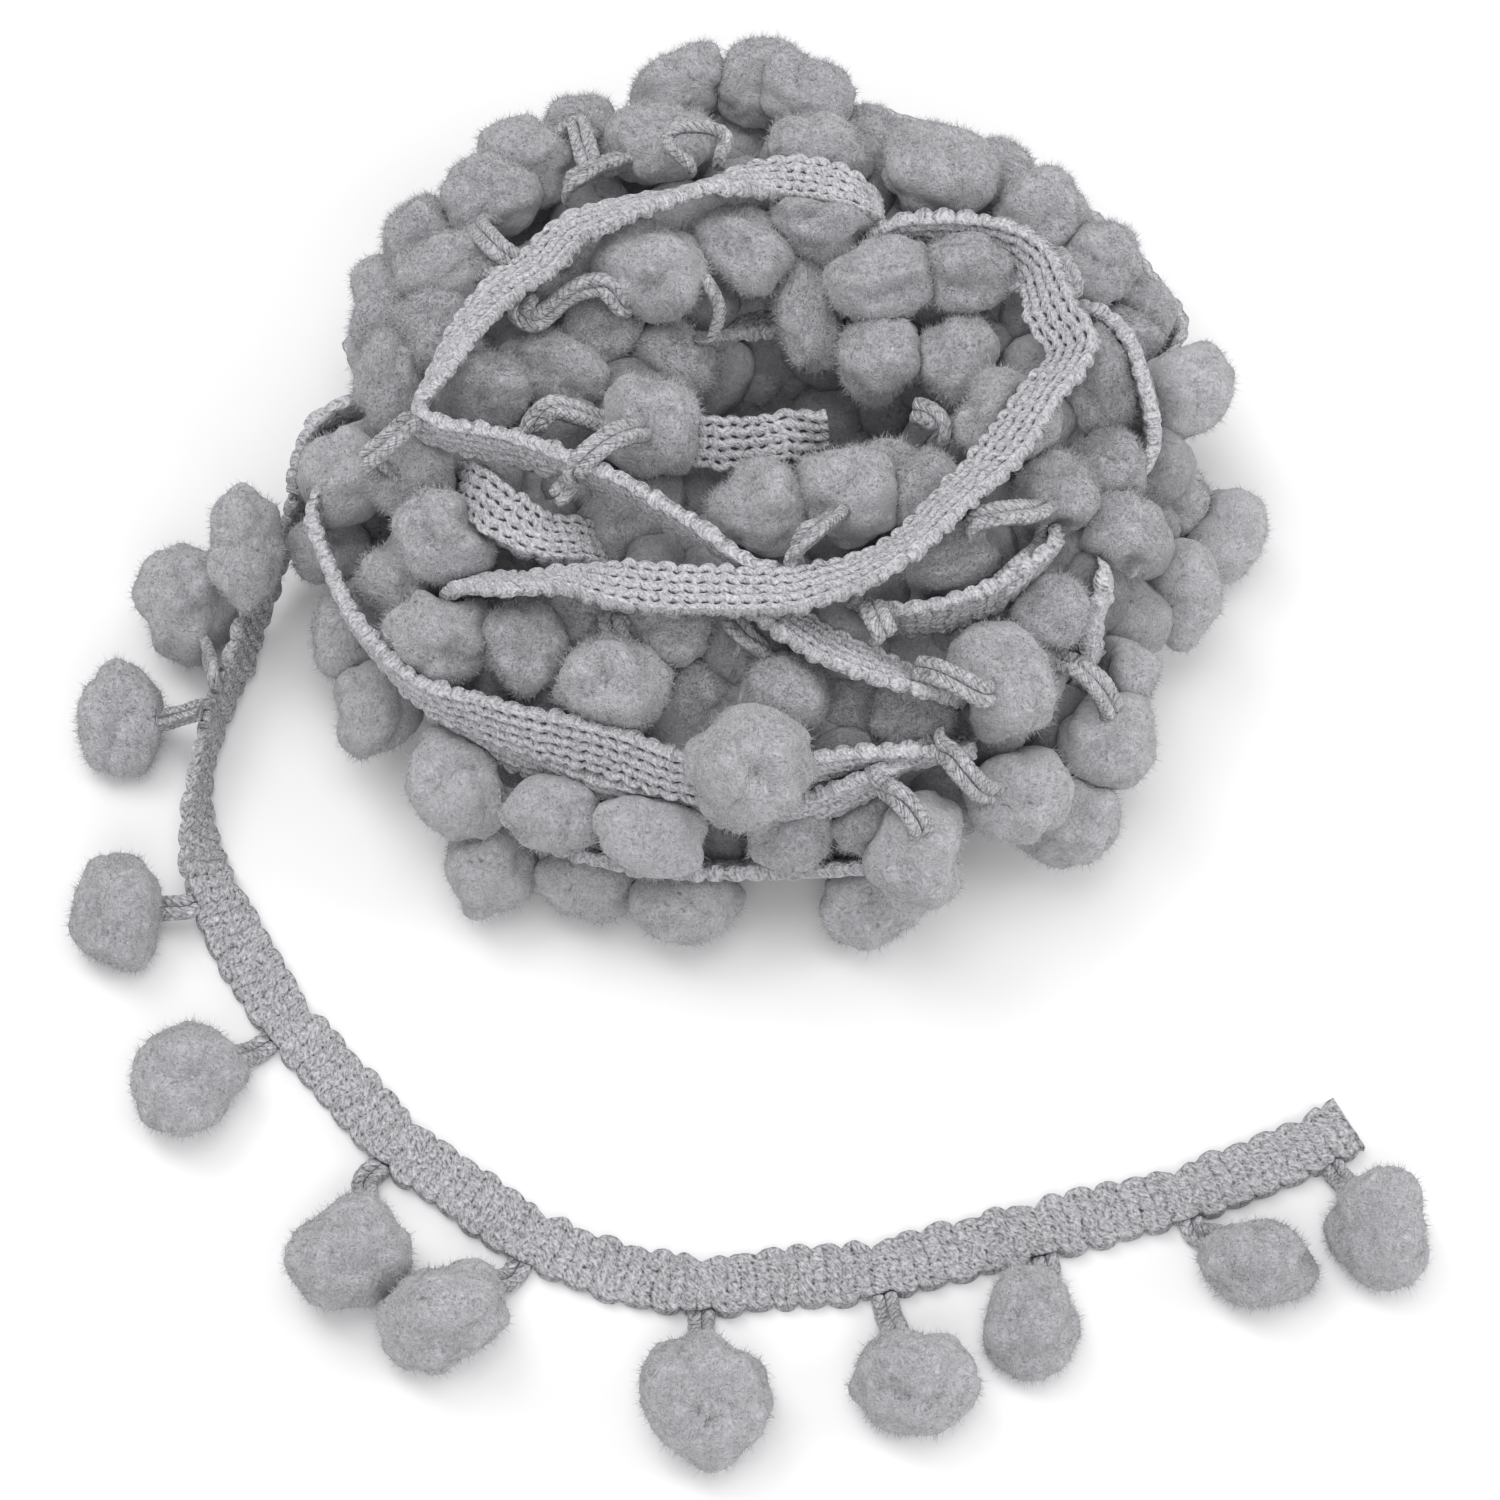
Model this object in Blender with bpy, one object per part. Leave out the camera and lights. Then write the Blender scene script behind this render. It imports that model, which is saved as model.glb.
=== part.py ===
"""Pompom fringe trim: a knitted braid with woolly balls hanging from it on doubled cords, wound into
a loose nest-like hank, with its free end laid out in a curve on the table.

The hank is one closed solid of its wound form: the packed inner turns, the balls that stand out of
them and the turns of braid that cross over them. The free end is a strip of braid, with each of its
cords and balls as a piece of its own.

Frame: origin on the table under the middle of the hank, +X to the right, +Y to the back, +Z up.
Tables are in millimetres and degrees, and MM turns them into metres.
"""

import math

import bmesh
import bpy
from mathutils import Matrix, Vector
from mathutils.geometry import interpolate_bezier

MM = 0.001

# Driving sizes
BRAID_WIDTH = 10.4 * MM
BRAID_THICKNESS = 2.0 * MM
TURN_THICKNESS = 3.2 * MM  # a turn in the hank, with the cords that cross it
CORD_THICKNESS = 2.0 * MM
GAP = 0.3 * MM
CORD_CLEARANCE = 0.8 * MM  # from a cord's flat end to the edge of the braid or the round of its ball
BALL_DEPTH = 0.92  # a ball's third size, as a share of its width
BALL_PLANE = 30  # degrees by which the plane of a ball's length and width tips up at the back
RING_RADIUS = 48.0 * MM  # middle line of the winding, from the axis
RING_HEIGHT = 28.0 * MM  # and above the table

# How finely the solids are faceted
MERGE_CELL = 1.6 * MM
BRAID_STEP = 4.5 * MM
CORD_STEP = 2.5 * MM
CORD_SIDES = 8
LEAST_CORD_POINTS = 6
BALL_SEGMENTS = 14
BALL_RINGS = 8
CLEARANCE_POINTS = 4  # points of the free end that run close by the hank
TABLE_WIDTH = 0.3
TABLE_DEPTH = 0.02
ARC_STEP = 12  # degrees between the points of a turn that follows an arc
CORE_STEPS = 48
HANK_BALL_SUBDIVISIONS = 3
SAME_POINT = 0.01 * MM
HANK_TRIANGLES = 5600

BRAID_GREY = (0.40, 0.40, 0.415, 1.0)
BALL_GREY = (0.44, 0.44, 0.455, 1.0)

# Half section of the packed inner turns: distance from the axis, height
CORE_PROFILE = [
    (0, -3), (58, -3), (65, 6), (67, 20), (62, 32), (53, 38),
    (40, 39), (28, 36), (22, 28), (18, 18), (13, 10), (0, 7),
]
CORE_RADIUS = 68
HOLLOW_SHIFT = (10, 8)  # how far the hollow lies off the axis at its deepest, to the right and back

# Balls of the hank that show: place of the middle, then length, width and the slant of the length
# as seen from the front, anticlockwise from +X
BALLS = [
    # x, y, z, long, wide, slant
    # back rim
    (-16, 72.5, 37.5, 17, 12.5, 38),
    (-3, 74, 37, 16, 14, 40),
    (6, 69, 39, 17, 13, -30),
    (-42.5, 54, 40, 17, 15.5, 0),
    (-33, 63.5, 35, 14, 12, 20),
    (-19.5, 56, 42, 18, 15, 10),
    (8, 54, 42, 18.5, 14.5, -10),
    (16, 65.5, 31, 12.5, 11.5, 0),
    (27.5, 50, 42, 19.5, 16.5, 0),
    (38.5, 57, 32, 13, 12, 0),
    (46.5, 43.5, 38, 17, 15.5, -30),
    (55, 36.5, 35, 16.5, 14, -45),
    (63, 33, 26, 15, 11, 90),
    (60, 27.5, 26, 13, 12, 0),
    # left rim
    (-48.5, 44.5, 42, 16.5, 14, 20),
    (-60, 39.5, 36, 16, 14, 100),
    (-66, 35.5, 29, 14, 13, 90),
    (-54, 28.5, 43, 16, 13, 10),
    (-57, 19.5, 42, 14, 12, 0),
    (-65, 25.5, 33, 13, 12, 0),
    (-64, 11, 38, 17, 12, 85),
    (-54, 13, 45, 12, 10, 0),
    (-72, -3, 30, 16.5, 15, 75),
    (-59, -10, 41, 14, 12, 0),
    (-53, -23, 43, 17, 14, -35),
    (-61, -24, 33, 14, 13, 0),
    (-75, -10, 17, 13, 12, 0),
    # back slope that faces the hollow
    (-20, 27, 46, 18, 17.5, 0),
    (-5, 33, 46, 17.5, 13, -35),
    (-35, 30, 40, 15, 12, 0),
    (-29, 21, 38, 15, 12, 10),
    (-18, 18, 33, 17, 14.5, -10),
    (-36, 12, 38, 18.5, 12.5, -12),
    (-49, 6, 43, 15, 12.5, 0),
    (-21, -1, 43, 19, 15.5, -55),
    (9, 36, 49, 19.5, 12.5, -5),
    (18, 25, 47, 19, 14, 12),
    (33, 27, 47, 17.5, 13, 5),
    (6, 24, 38, 18.5, 11, 95),
    (18, 14, 40, 15.5, 14, 80),
    (31, 13, 41, 15.5, 14, 90),
    # bottom of the hollow
    (-6, 25, 16, 15, 13, 0),
    (4, 28, 14, 16, 13, 0),
    (13, 20, 13, 20, 14, -20),
    # front lip of the hollow
    (-2, -17, 43, 16, 14.5, 0),
    (12, -15, 43, 17, 15.5, 0),
    (19, -7, 38, 14, 12, 0),
    (25, -14, 43, 13.5, 12, 80),
    (-27, -19, 36, 16, 14, 0),
    # right rim
    (69, 16.5, 25, 19.5, 15.5, 35),
    (38, -1, 45, 16, 15, 0),
    (54, 9, 38, 20, 12, 82),
    (56, -4, 35, 15, 13, 0),
    (46, -13, 40, 14.5, 14, 90),
    (57, -18, 34, 16, 13, 65),
    (77, -2, 10, 16, 15.5, 0),
    (69, 1, 14, 14, 12, 0),
    (68, -17, 16, 18.5, 14.5, 95),
    (44, -33, 37, 14, 13, 0),
    (29, -26, 42, 15, 11, 15),
    (42, -18, 30, 15, 13, 0),
    # front slope
    (37, -47, 39, 19, 18, 0),
    (22, -49, 33, 14.5, 11.5, 0),
    (13, -47, 31, 14, 12, 0),
    (2, -48, 37, 16, 14.5, 90),
    (-11, -46, 31, 15, 13, 90),
    (-17, -38, 41, 15, 12.5, 0),
    (-26, -48, 39, 19, 16.5, -10),
    (-30, -35, 37, 14, 12, 0),
    (-40, -40, 38, 15.5, 14.5, 100),
    (-54, -37, 37, 18, 16.5, 10),
    (-4, -63, 41, 19, 18.5, 0),
    # front foot
    (39, -60, 24, 16.5, 16, 0),
    (48, -59, 13, 17.5, 16, 0),
    (55, -48, 22, 15.5, 15, 0),
    (57, -36, 22, 14, 12, 0),
    (23, -71, 26, 18, 16.5, 85),
    (16, -71, 10, 17.5, 15, 0),
    (15, -65, 24, 14, 12, 0),
    (3, -66, 24, 15.5, 12, 0),
    (-20, -68, 27, 18.5, 12.5, -5),
    (-35, -64, 26, 15, 12, 0),
    (-51, -56, 22, 18.5, 15.5, 110),
    (-15, -71, 10, 17.5, 15.5, 0),
    (-30, -67, 9, 16.5, 13.5, 0),
    (-47, -66, 10, 16.5, 14.5, 75),
    (-66, -39, 15, 15.5, 14, 90),
    (-71, -26, 15, 15.5, 13.5, 90),
]

# Balls on the sides that face away, in rows round the hank: distance from the axis, height, first
# and last bearing from +X, how many, size
BALL_ROWS = [
    # radius, height, from, to, count, size
    (71, 9, 26, 168, 12, 17),
    (69, 24, 50, 158, 8, 17),
]
ROW_BALL_WIDTH = 0.88  # width of these balls, as a share of their length
ROW_BALL_SLANTS = (0, 25, 50)

# Turns of braid that cross over the balls: points of the middle line, and how far the face leans
# from lying flat on the hank
BRAID_TURNS = {
    "upper_left_turn": [
        # x, y, z, lean
        (18, 40, 48, 46), (13, 41, 50, 28), (4, 43, 51, 14), (-3.5, 42, 52, 36), (-8, 40, 53, 60),
        (-11.5, 39, 54, 71), (-17.5, 37, 54, 66), (-23.5, 35, 54, 54), (-29, 32.5, 54, 39),
        (-34, 30, 54, 33), (-39, 23.5, 54, 34), (-44.5, 18.5, 54, 28), (-48.5, 13, 54, 35),
        (-52.5, 7, 53, 39), (-55, 1.5, 53, 44), (-57.5, -5, 53, 62), (-54, -8, 53, 90),
        (-44, -10, 52, 94), (-35, -13, 52, 110), (-28, -16, 52, 134), (-15, -24, 52, 144),
        (-5, -31, 50, 142), (3, -33, 45, 142),
    ],
    "front_turn": [
        (16, 33, 47, 80), (22, 34, 49, 80), (30, 33, 50, 84), (38, 31, 50, 84), (44, 25, 51, 66),
        (46, 15, 52, 36), (49, 8, 52, 44), (44, -1, 53, 26), (37, -12, 53, 8), (28, -22, 53, 12),
        (21, -30, 53, 18), (12, -35, 53, 6), (1, -38, 53, -8), (-12, -38, 53, -14), (-23, -37, 53, -2),
        (-32, -35, 51, 36), (-42, -34, 48, 60), (-49, -31, 42, 70), (-52, -30, 36, 70),
    ],
    "lower_turn": [
        (-78, -8, 30, 6), (-75, -17, 31, 12), (-69, -31, 33, 18), (-62, -41, 34, 22), (-54, -48, 35, 16),
        (-42, -53, 36, 4), (-28, -57, 36, 2), (-15, -62, 36, 2), (-2, -63, 36, 20), (11, -60, 36, 34),
        (20, -59, 36, 40), (27, -57, 33, 44), (30, -52, 27, 44),
    ],
    "under_turn": [
        (-59, -41, 27, 4), (-53, -47, 27, -4), (-43, -53, 27, -6), (-28, -60, 27, -6), (-13, -63, 27, -6),
        (-2, -65, 28, 0), (9, -64, 31, 12), (18, -61, 34, 32), (24, -56, 32, 44),
    ],
    "foot_turn": [
        (-48, -57, 20, 2), (-41, -62, 18, 6), (-31, -66, 17, 10), (-18, -69, 17, 10), (-2, -69, 17, 8),
        (12, -69, 17, 4), (20, -65, 14, 4),
    ],
    "crossing_turn": [
        (-7, -35, 48, -12), (-1, -38, 47, -12), (7, -43, 46, -22), (15, -47, 45, -40),
        (23, -49, 43, -64), (30, -48, 38, -64),
    ],
    "short_ribbed_turn": [
        (14, -33, 40, -56), (18, -37, 43, -62), (23, -38, 44, -78), (31, -36, 44, -88),
        (37, -33, 44, -92), (43, -27, 43, -88), (45, -21, 38, -88),
    ],
    "inner_left_turn": [
        (-52, -10, 40, 40), (-48, -16, 46, 30), (-43, -21, 47, 10), (-37, -24, 46, 0), (-31, -23, 43, 10),
        (-26, -22, 37, 10),
    ],
    "end_in_hollow": [
        (-20, -1, 40, 50), (-14, -2, 40, 60), (-6, -2, 39, 68), (3, 0, 38, 76), (9, 1, 38, 84),
    ],
    "turn_in_hollow": [
        (-14, 26, 31, 70), (-2, 28, 30, 70), (8, 28, 31, 70),
    ],
    "left_side_turn": [
        (-71.1, 11.7, 33, 21), (-73.5, 9.7, 32, 26), (-76.1, 7.4, 30, 27), (-78.1, 5.1, 27, 24),
        (-79.3, 3.5, 24, 19), (-79.8, 2.6, 21.6, 14), (-80, 2, 20.3, 10),
    ],
    "right_side_turn": [
        (52, 24, 43, -32), (56, 20, 43, -32), (60, 14, 42, -34), (62, 7, 40, -32), (63, 1, 36, -22),
        (63, -7, 32, -14),
    ],
    "right_front_turn": [
        (58, -24, 38, -38), (54, -29, 35, -26), (52, -35, 30, -14), (54, -41, 24, 0),
    ],
}

# Turns of braid on the sides that face away, which rise and fall as they go round
BRAID_ARCS = {
    # radius, height, from, to, rise, lean
    "back_foot_turn": (77, 17, 20, 164, 2, 10),
    "back_turn": (73, 28, 64, 148, 3, 30),
}
ARC_WAVES = 3  # how many times such a turn would rise and fall in a whole round

# The free end: points of the middle line of its braid, and how far it is turned up from lying flat
TAIL = [
    # x, y, z, lean
    (-80.2, 1.6, 19.3, -90), (-80.8, 0.4, 17, -92), (-82, -1.6, 14, -94), (-83.8, -4.5, 11.5, -93),
    (-85.7, -7.9, 9.5, -88), (-87.6, -14.1, 8, -83), (-89.3, -20.3, 7.4, -81), (-91, -26.2, 7, -81),
    (-93, -32.7, 6.6, -85), (-95, -41.1, 6.3, -86), (-96, -49.8, 6.1, -82), (-95.5, -57.4, 5.5, -64),
    (-94, -64, 4.2, -40), (-91.5, -69, 2.4, -16), (-89, -74, 1.5, -5), (-86, -79, 1.3, 0),
    (-79.5, -89, 1.3, 0), (-70.5, -99.5, 1.3, 0), (-61.5, -109.5, 1.3, 0), (-51.5, -117.5, 1.3, 0),
    (-38.5, -126.5, 1.3, 0), (-27.5, -131.5, 1.3, 0), (-18, -134, 1.3, 0), (-9, -134.5, 1.3, 0),
    (1, -133.5, 1.3, 0), (13.5, -132.5, 1.3, 0), (25, -130, 1.3, 0), (36, -127, 1.3, 0),
    (48.5, -124, 1.3, 0), (60, -121, 1.3, 0), (72, -117, 1.3, 0), (83, -112.5, 1.3, 0),
    (92.5, -107.5, 1.3, 0),
]

# Its balls: place of the middle and lift of the underside above the table, then the sizes as in
# BALLS, and how far along the braid each one's cord leaves its outer edge
TAIL_BALLS = [
    # x, y, lift, long, wide, slant, along
    (-88.9, -13.3, 17, 20, 12.5, 88, 20),
    (-99.8, -15.5, 2, 18.5, 16.5, 90, 40),
    (-109.5, -37, 0, 19, 12.5, 90, 47),
    (-107.5, -73.5, 0, 18, 14, 100, 77),
    (-94, -102.5, 0, 17, 16, 30, 104),
    (-66.5, -132.5, 0, 18.5, 17, 10, 132),
    (-51.5, -142, 0, 18.5, 17, 0, 159),
    (-10.5, -154, 0, 19.5, 18, 90, 187),
    (21.5, -152, 0, 18.5, 16, 0, 215),
    (40.5, -142, 0, 17, 14, 70, 241),
    (76, -133, 0, 18, 13.5, -5, 265),
    (95, -126.5, 0, 18, 15.5, 100, 289),
]


# ---------------------------------------------------------------- helpers

def clear_scene():
    for thing in list(bpy.data.objects):
        bpy.data.objects.remove(thing, do_unlink=True)


def wool(name, colour):
    material = bpy.data.materials.new(name)
    material.use_nodes = True
    shader = material.node_tree.nodes["Principled BSDF"]
    shader.inputs["Base Color"].default_value = colour
    shader.inputs["Roughness"].default_value = 0.95
    shader.inputs["Metallic"].default_value = 0.0
    return material


def link_mesh(name, bm, material=None):
    """Makes an object of the bmesh: a piece if it has a material, and otherwise a guide."""
    mesh = bpy.data.meshes.new(name)
    bm.to_mesh(mesh)
    bm.free()
    thing = bpy.data.objects.new(name, mesh)
    bpy.context.scene.collection.objects.link(thing)
    if material:
        mesh.materials.append(material)
        mesh.shade_smooth()
    else:
        thing.hide_render = True
        thing.display_type = "WIRE"
    return thing


def cut_away(thing, cutter):
    cut = thing.modifiers.new("Clear of " + cutter.name, "BOOLEAN")
    cut.operation = "DIFFERENCE"
    cut.solver = "EXACT"
    cut.object = cutter


def smooth_route(points, step):
    """Places at even steps along a smooth curve through the points, each with its lean."""
    places = [Vector(point[:3]) * MM for point in points]
    leans = [point[3] for point in points]
    route = [(places[0], leans[0])]
    for i in range(len(places) - 1):
        before = places[max(i - 1, 0)]
        after = places[min(i + 2, len(places) - 1)]
        start = places[i] + (places[i + 1] - before) / 6
        end = places[i + 1] - (after - places[i]) / 6
        count = max(1, round((places[i + 1] - places[i]).length / step)) + 1
        curve = interpolate_bezier(places[i], start, end, places[i + 1], count)
        for k in range(1, count):
            share = k / (count - 1)
            route.append((curve[k], leans[i] + (leans[i + 1] - leans[i]) * share))
    return route


def out_of_ring(place):
    """Direction from the middle line of the winding to this place: flat on the hank faces it."""
    middle = Vector((place.x, place.y, 0)).normalized() * RING_RADIUS
    middle.z = RING_HEIGHT
    return (place - middle).normalized()


def upward(_place):
    return Vector((0, 0, 1))


def side_and_face(route, i, facing):
    """Across the braid, towards the cords, and out of its face, at point i of the route."""
    place, lean = route[i]
    along = (route[min(i + 1, len(route) - 1)][0] - route[max(i - 1, 0)][0]).normalized()
    out = facing(place)
    out = (out - along * out.dot(along)).normalized()
    out = Matrix.Rotation(math.radians(lean), 3, along) @ out
    return along.cross(out), out


def sweep(bm, route, facing, section):
    """Sweeps a closed section along the route. Its face looks along facing, turned by each lean."""
    rings = []
    for i, (place, _lean) in enumerate(route):
        side, out = side_and_face(route, i, facing)
        rings.append([bm.verts.new(place + side * a + out * b) for a, b in section])
    faces = [bm.faces.new(rings[0][::-1]), bm.faces.new(rings[-1])]
    count = len(section)
    for first, second in zip(rings, rings[1:]):
        for k in range(count):
            after = (k + 1) % count
            faces.append(bm.faces.new((first[k], first[after], second[after], second[k])))
    bmesh.ops.recalc_face_normals(bm, faces=faces)


def flat_section(width, thickness):
    return [(a * width / 2, b * thickness / 2) for a, b in ((-1, -1), (1, -1), (1, 1), (-1, 1))]


def oval_section(width, thickness, sides):
    return [
        (width / 2 * math.cos(math.tau * k / sides), thickness / 2 * math.sin(math.tau * k / sides))
        for k in range(sides)
    ]


def ball_matrix(x, y, z, long, wide, slant):
    """Sets a unit ball to its size and place."""
    plane = Matrix.Rotation(math.radians(BALL_PLANE), 4, "X")
    turn = Matrix.Rotation(math.radians(slant), 4, "Z")
    size = Matrix.Diagonal((long / 2 * MM, wide / 2 * MM, wide * BALL_DEPTH / 2 * MM, 1))
    return Matrix.Translation(Vector((x, y, z)) * MM) @ plane @ turn @ size


def lifted_ball_matrix(x, y, lift, long, wide, slant):
    """The same for a ball given by the height of its underside."""
    matrix = ball_matrix(x, y, 0, long, wide, slant)
    matrix[2][3] = lift * MM + Vector(matrix[2][:3]).length
    return matrix


# ---------------------------------------------------------------- the hank

def hidden_balls():
    """The rows of balls round the back and sides, as rows of BALLS."""
    for radius, height, first, last, count, size in BALL_ROWS:
        for k in range(count):
            bearing = math.radians(first + (last - first) * k / (count - 1))
            spot = (radius * math.cos(bearing), radius * math.sin(bearing), height)
            yield (*spot, size, size * ROW_BALL_WIDTH, ROW_BALL_SLANTS[k % len(ROW_BALL_SLANTS)])


def arc_points(radius, height, first, last, rise, lean):
    """The points of a turn of braid that goes evenly round the hank."""
    for bearing in range(first, last + 1, ARC_STEP):
        angle = math.radians(bearing)
        wave = rise * math.sin(ARC_WAVES * angle)
        yield (radius * math.cos(angle), radius * math.sin(angle), height + wave, lean)


def packed_core(bm):
    profile = [bm.verts.new((r * MM, 0, z * MM)) for r, z in CORE_PROFILE]
    edges = [bm.edges.new(pair) for pair in zip(profile, profile[1:])]
    bmesh.ops.spin(
        bm, geom=profile + edges, cent=(0, 0, 0), axis=(0, 0, 1),
        angle=math.tau, steps=CORE_STEPS, use_merge=True,
    )
    bmesh.ops.remove_doubles(bm, verts=bm.verts, dist=SAME_POINT)
    for vert in bm.verts:
        share = max(0.0, 1 - vert.co.xy.length / (CORE_RADIUS * MM))
        vert.co.xy += Vector(HOLLOW_SHIFT) * MM * share


def one_skin(bm):
    """One skin round everything in the bmesh, as a new bmesh."""
    pile = link_mesh("pile", bm)
    remesh = pile.modifiers.new("Merge", "REMESH")
    remesh.mode = "VOXEL"
    remesh.voxel_size = MERGE_CELL
    graph = bpy.context.evaluated_depsgraph_get()
    skin = bmesh.new()
    skin.from_object(pile, graph)
    bpy.data.objects.remove(pile, do_unlink=True)
    return skin


def keep_largest_shell(bm):
    """Removes the skins of sealed spaces between the balls."""
    shells = []
    left = set(bm.verts)
    while left:
        front = [left.pop()]
        shell = set(front)
        while front:
            for edge in front.pop().link_edges:
                for vert in edge.verts:
                    if vert in left:
                        left.discard(vert)
                        shell.add(vert)
                        front.append(vert)
        shells.append(shell)
    for shell in sorted(shells, key=len)[:-1]:
        bmesh.ops.delete(bm, geom=list(shell), context="VERTS")


def make_hank(material, tail_clearance):
    bm = bmesh.new()
    packed_core(bm)
    for row in [*BALLS, *hidden_balls()]:
        matrix = ball_matrix(*row)
        bmesh.ops.create_icosphere(bm, subdivisions=HANK_BALL_SUBDIVISIONS, radius=1, matrix=matrix)
    turns = [*BRAID_TURNS.values(), *(list(arc_points(*row)) for row in BRAID_ARCS.values())]
    section = flat_section(BRAID_WIDTH, TURN_THICKNESS)
    for points in turns:
        sweep(bm, smooth_route(points, BRAID_STEP), out_of_ring, section)

    skin = one_skin(bm)
    keep_largest_shell(skin)
    hank = link_mesh("wound_bundle", skin, material)
    fewer = hank.modifiers.new("Fewer faces", "DECIMATE")
    fewer.ratio = HANK_TRIANGLES / (2 * len(hank.data.polygons))
    cut_away(hank, make_table())
    cut_away(hank, tail_clearance)
    return hank


def make_table():
    """The slab that cuts the hank's underside flat."""
    bm = bmesh.new()
    place = Matrix.Translation((0, 0, -TABLE_DEPTH / 2))
    size = Matrix.Diagonal((TABLE_WIDTH, TABLE_WIDTH, TABLE_DEPTH, 1))
    bmesh.ops.create_cube(bm, size=1, matrix=place @ size)
    return link_mesh("table_cutter", bm)


# ---------------------------------------------------------------- the free end

def make_tail_clearance():
    """The first of the free end, grown by the gap, to be cut out of the hank."""
    bm = bmesh.new()
    route = smooth_route(TAIL[:CLEARANCE_POINTS], BRAID_STEP)
    start, lean = route[0]
    ahead = (route[1][0] - start).normalized()
    route.insert(0, (start - ahead * GAP, lean))
    section = flat_section(BRAID_WIDTH + 2 * GAP, BRAID_THICKNESS + 2 * GAP)
    sweep(bm, route, upward, section)
    return link_mesh("tail_cutter", bm)


def make_tail_braid(material):
    bm = bmesh.new()
    section = flat_section(BRAID_WIDTH, BRAID_THICKNESS)
    sweep(bm, smooth_route(TAIL, BRAID_STEP), upward, section)
    return link_mesh("tail_braid", bm, material)


def make_tail_ball(number, row, material):
    bm = bmesh.new()
    matrix = lifted_ball_matrix(*row[:6])
    bmesh.ops.create_uvsphere(
        bm, u_segments=BALL_SEGMENTS, v_segments=BALL_RINGS, radius=1, matrix=matrix
    )
    return link_mesh(f"tail_pompom_{number:02d}", bm, material)


def braid_edge(distance):
    """The point that far along the free end on its outer edge, the way out of the edge and the
    way out of the face."""
    route = smooth_route(TAIL, BRAID_STEP)
    passed = 0.0
    i = 0
    while passed < distance * MM and i < len(route) - 1:
        passed += (route[i + 1][0] - route[i][0]).length
        i += 1
    side, out = side_and_face(route, i, upward)
    return route[i][0] + side * (BRAID_WIDTH / 2), side, out


def make_tail_cord(number, row, material):
    """The doubled cord from the edge of the braid to the face of the ball."""
    ball = lifted_ball_matrix(*row[:6])
    edge, side, out = braid_edge(row[6])
    middle = ball.translation
    face = middle + (edge - middle) / (ball.inverted() @ edge).length
    ahead = (middle - face).normalized()
    start = edge + side * CORD_CLEARANCE
    end = face - ahead * CORD_CLEARANCE
    bend = (end - start).length / 3
    count = max(LEAST_CORD_POINTS, round((end - start).length / CORD_STEP) + 1)
    curve = interpolate_bezier(start, start + side * bend, end - ahead * bend, end, count)
    bm = bmesh.new()
    section = oval_section(2 * CORD_THICKNESS, CORD_THICKNESS, CORD_SIDES)
    sweep(bm, [(place, 0) for place in curve], lambda _place: out, section)
    return link_mesh(f"tail_cord_{number:02d}", bm, material)


def main():
    clear_scene()
    braid = wool("braid", BRAID_GREY)
    balls = wool("pompom", BALL_GREY)
    make_hank(balls, make_tail_clearance())
    make_tail_braid(braid)
    for number, row in enumerate(TAIL_BALLS, 1):
        make_tail_ball(number, row, balls)
        make_tail_cord(number, row, braid)


main()
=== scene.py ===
"""Pompom fringe trim: a knitted braid with woolly pompoms on doubled cords, wound into a loose
hank, with its free end laid out in a curve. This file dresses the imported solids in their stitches,
wool and fuzz.

Tables are in millimetres and degrees, in the frame of the solids: origin on the table under the
middle of the hank, +X to the right, +Y to the back, +Z up. MM turns them into metres.
"""

import math

import bmesh
import bpy
import numpy as np
from mathutils import Matrix, Vector


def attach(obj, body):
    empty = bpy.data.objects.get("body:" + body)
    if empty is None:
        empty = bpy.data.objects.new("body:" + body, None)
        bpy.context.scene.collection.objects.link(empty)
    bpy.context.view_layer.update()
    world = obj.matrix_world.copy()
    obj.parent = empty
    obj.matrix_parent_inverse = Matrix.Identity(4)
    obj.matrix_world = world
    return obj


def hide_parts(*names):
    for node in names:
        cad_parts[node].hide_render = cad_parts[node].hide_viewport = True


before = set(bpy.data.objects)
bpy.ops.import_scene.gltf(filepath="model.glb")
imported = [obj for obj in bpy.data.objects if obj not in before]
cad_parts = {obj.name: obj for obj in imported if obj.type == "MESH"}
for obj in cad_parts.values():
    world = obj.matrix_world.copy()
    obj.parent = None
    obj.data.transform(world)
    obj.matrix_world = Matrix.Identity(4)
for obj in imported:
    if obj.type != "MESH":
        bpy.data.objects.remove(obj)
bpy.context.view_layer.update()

MM = 0.001

# First random seed of each kind of piece
SEEDS = {
    "turn": 10, "free end": 50, "filler place": 77, "hank ball": 100, "free end's ball": 300,
    "free end's cord": 500, "hank cord": 700, "loop": 800, "filler": 900,
}

# Sizes of the trim
BRAID_WIDTH = 10.4
BRAID_THICKNESS = 2.0
TURN_THICKNESS = 2.4
COLUMNS = 5
ROW = 2.3  # length of a row of stitches along the braid
ROUTE_STEPS = 24  # places worked out between two points of a route
# Lumps of the edges: their length in rows, and how far they stand out
LOOSE_LUMPS = (2, 1.2)
WOUND_LUMPS = (1.4, 0.75)
EDGE_ROOM = 1.5  # width that those lumps take up
EDGE_GROOVE = 0.9  # depth of the groove between the two ropes of an edge
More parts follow.
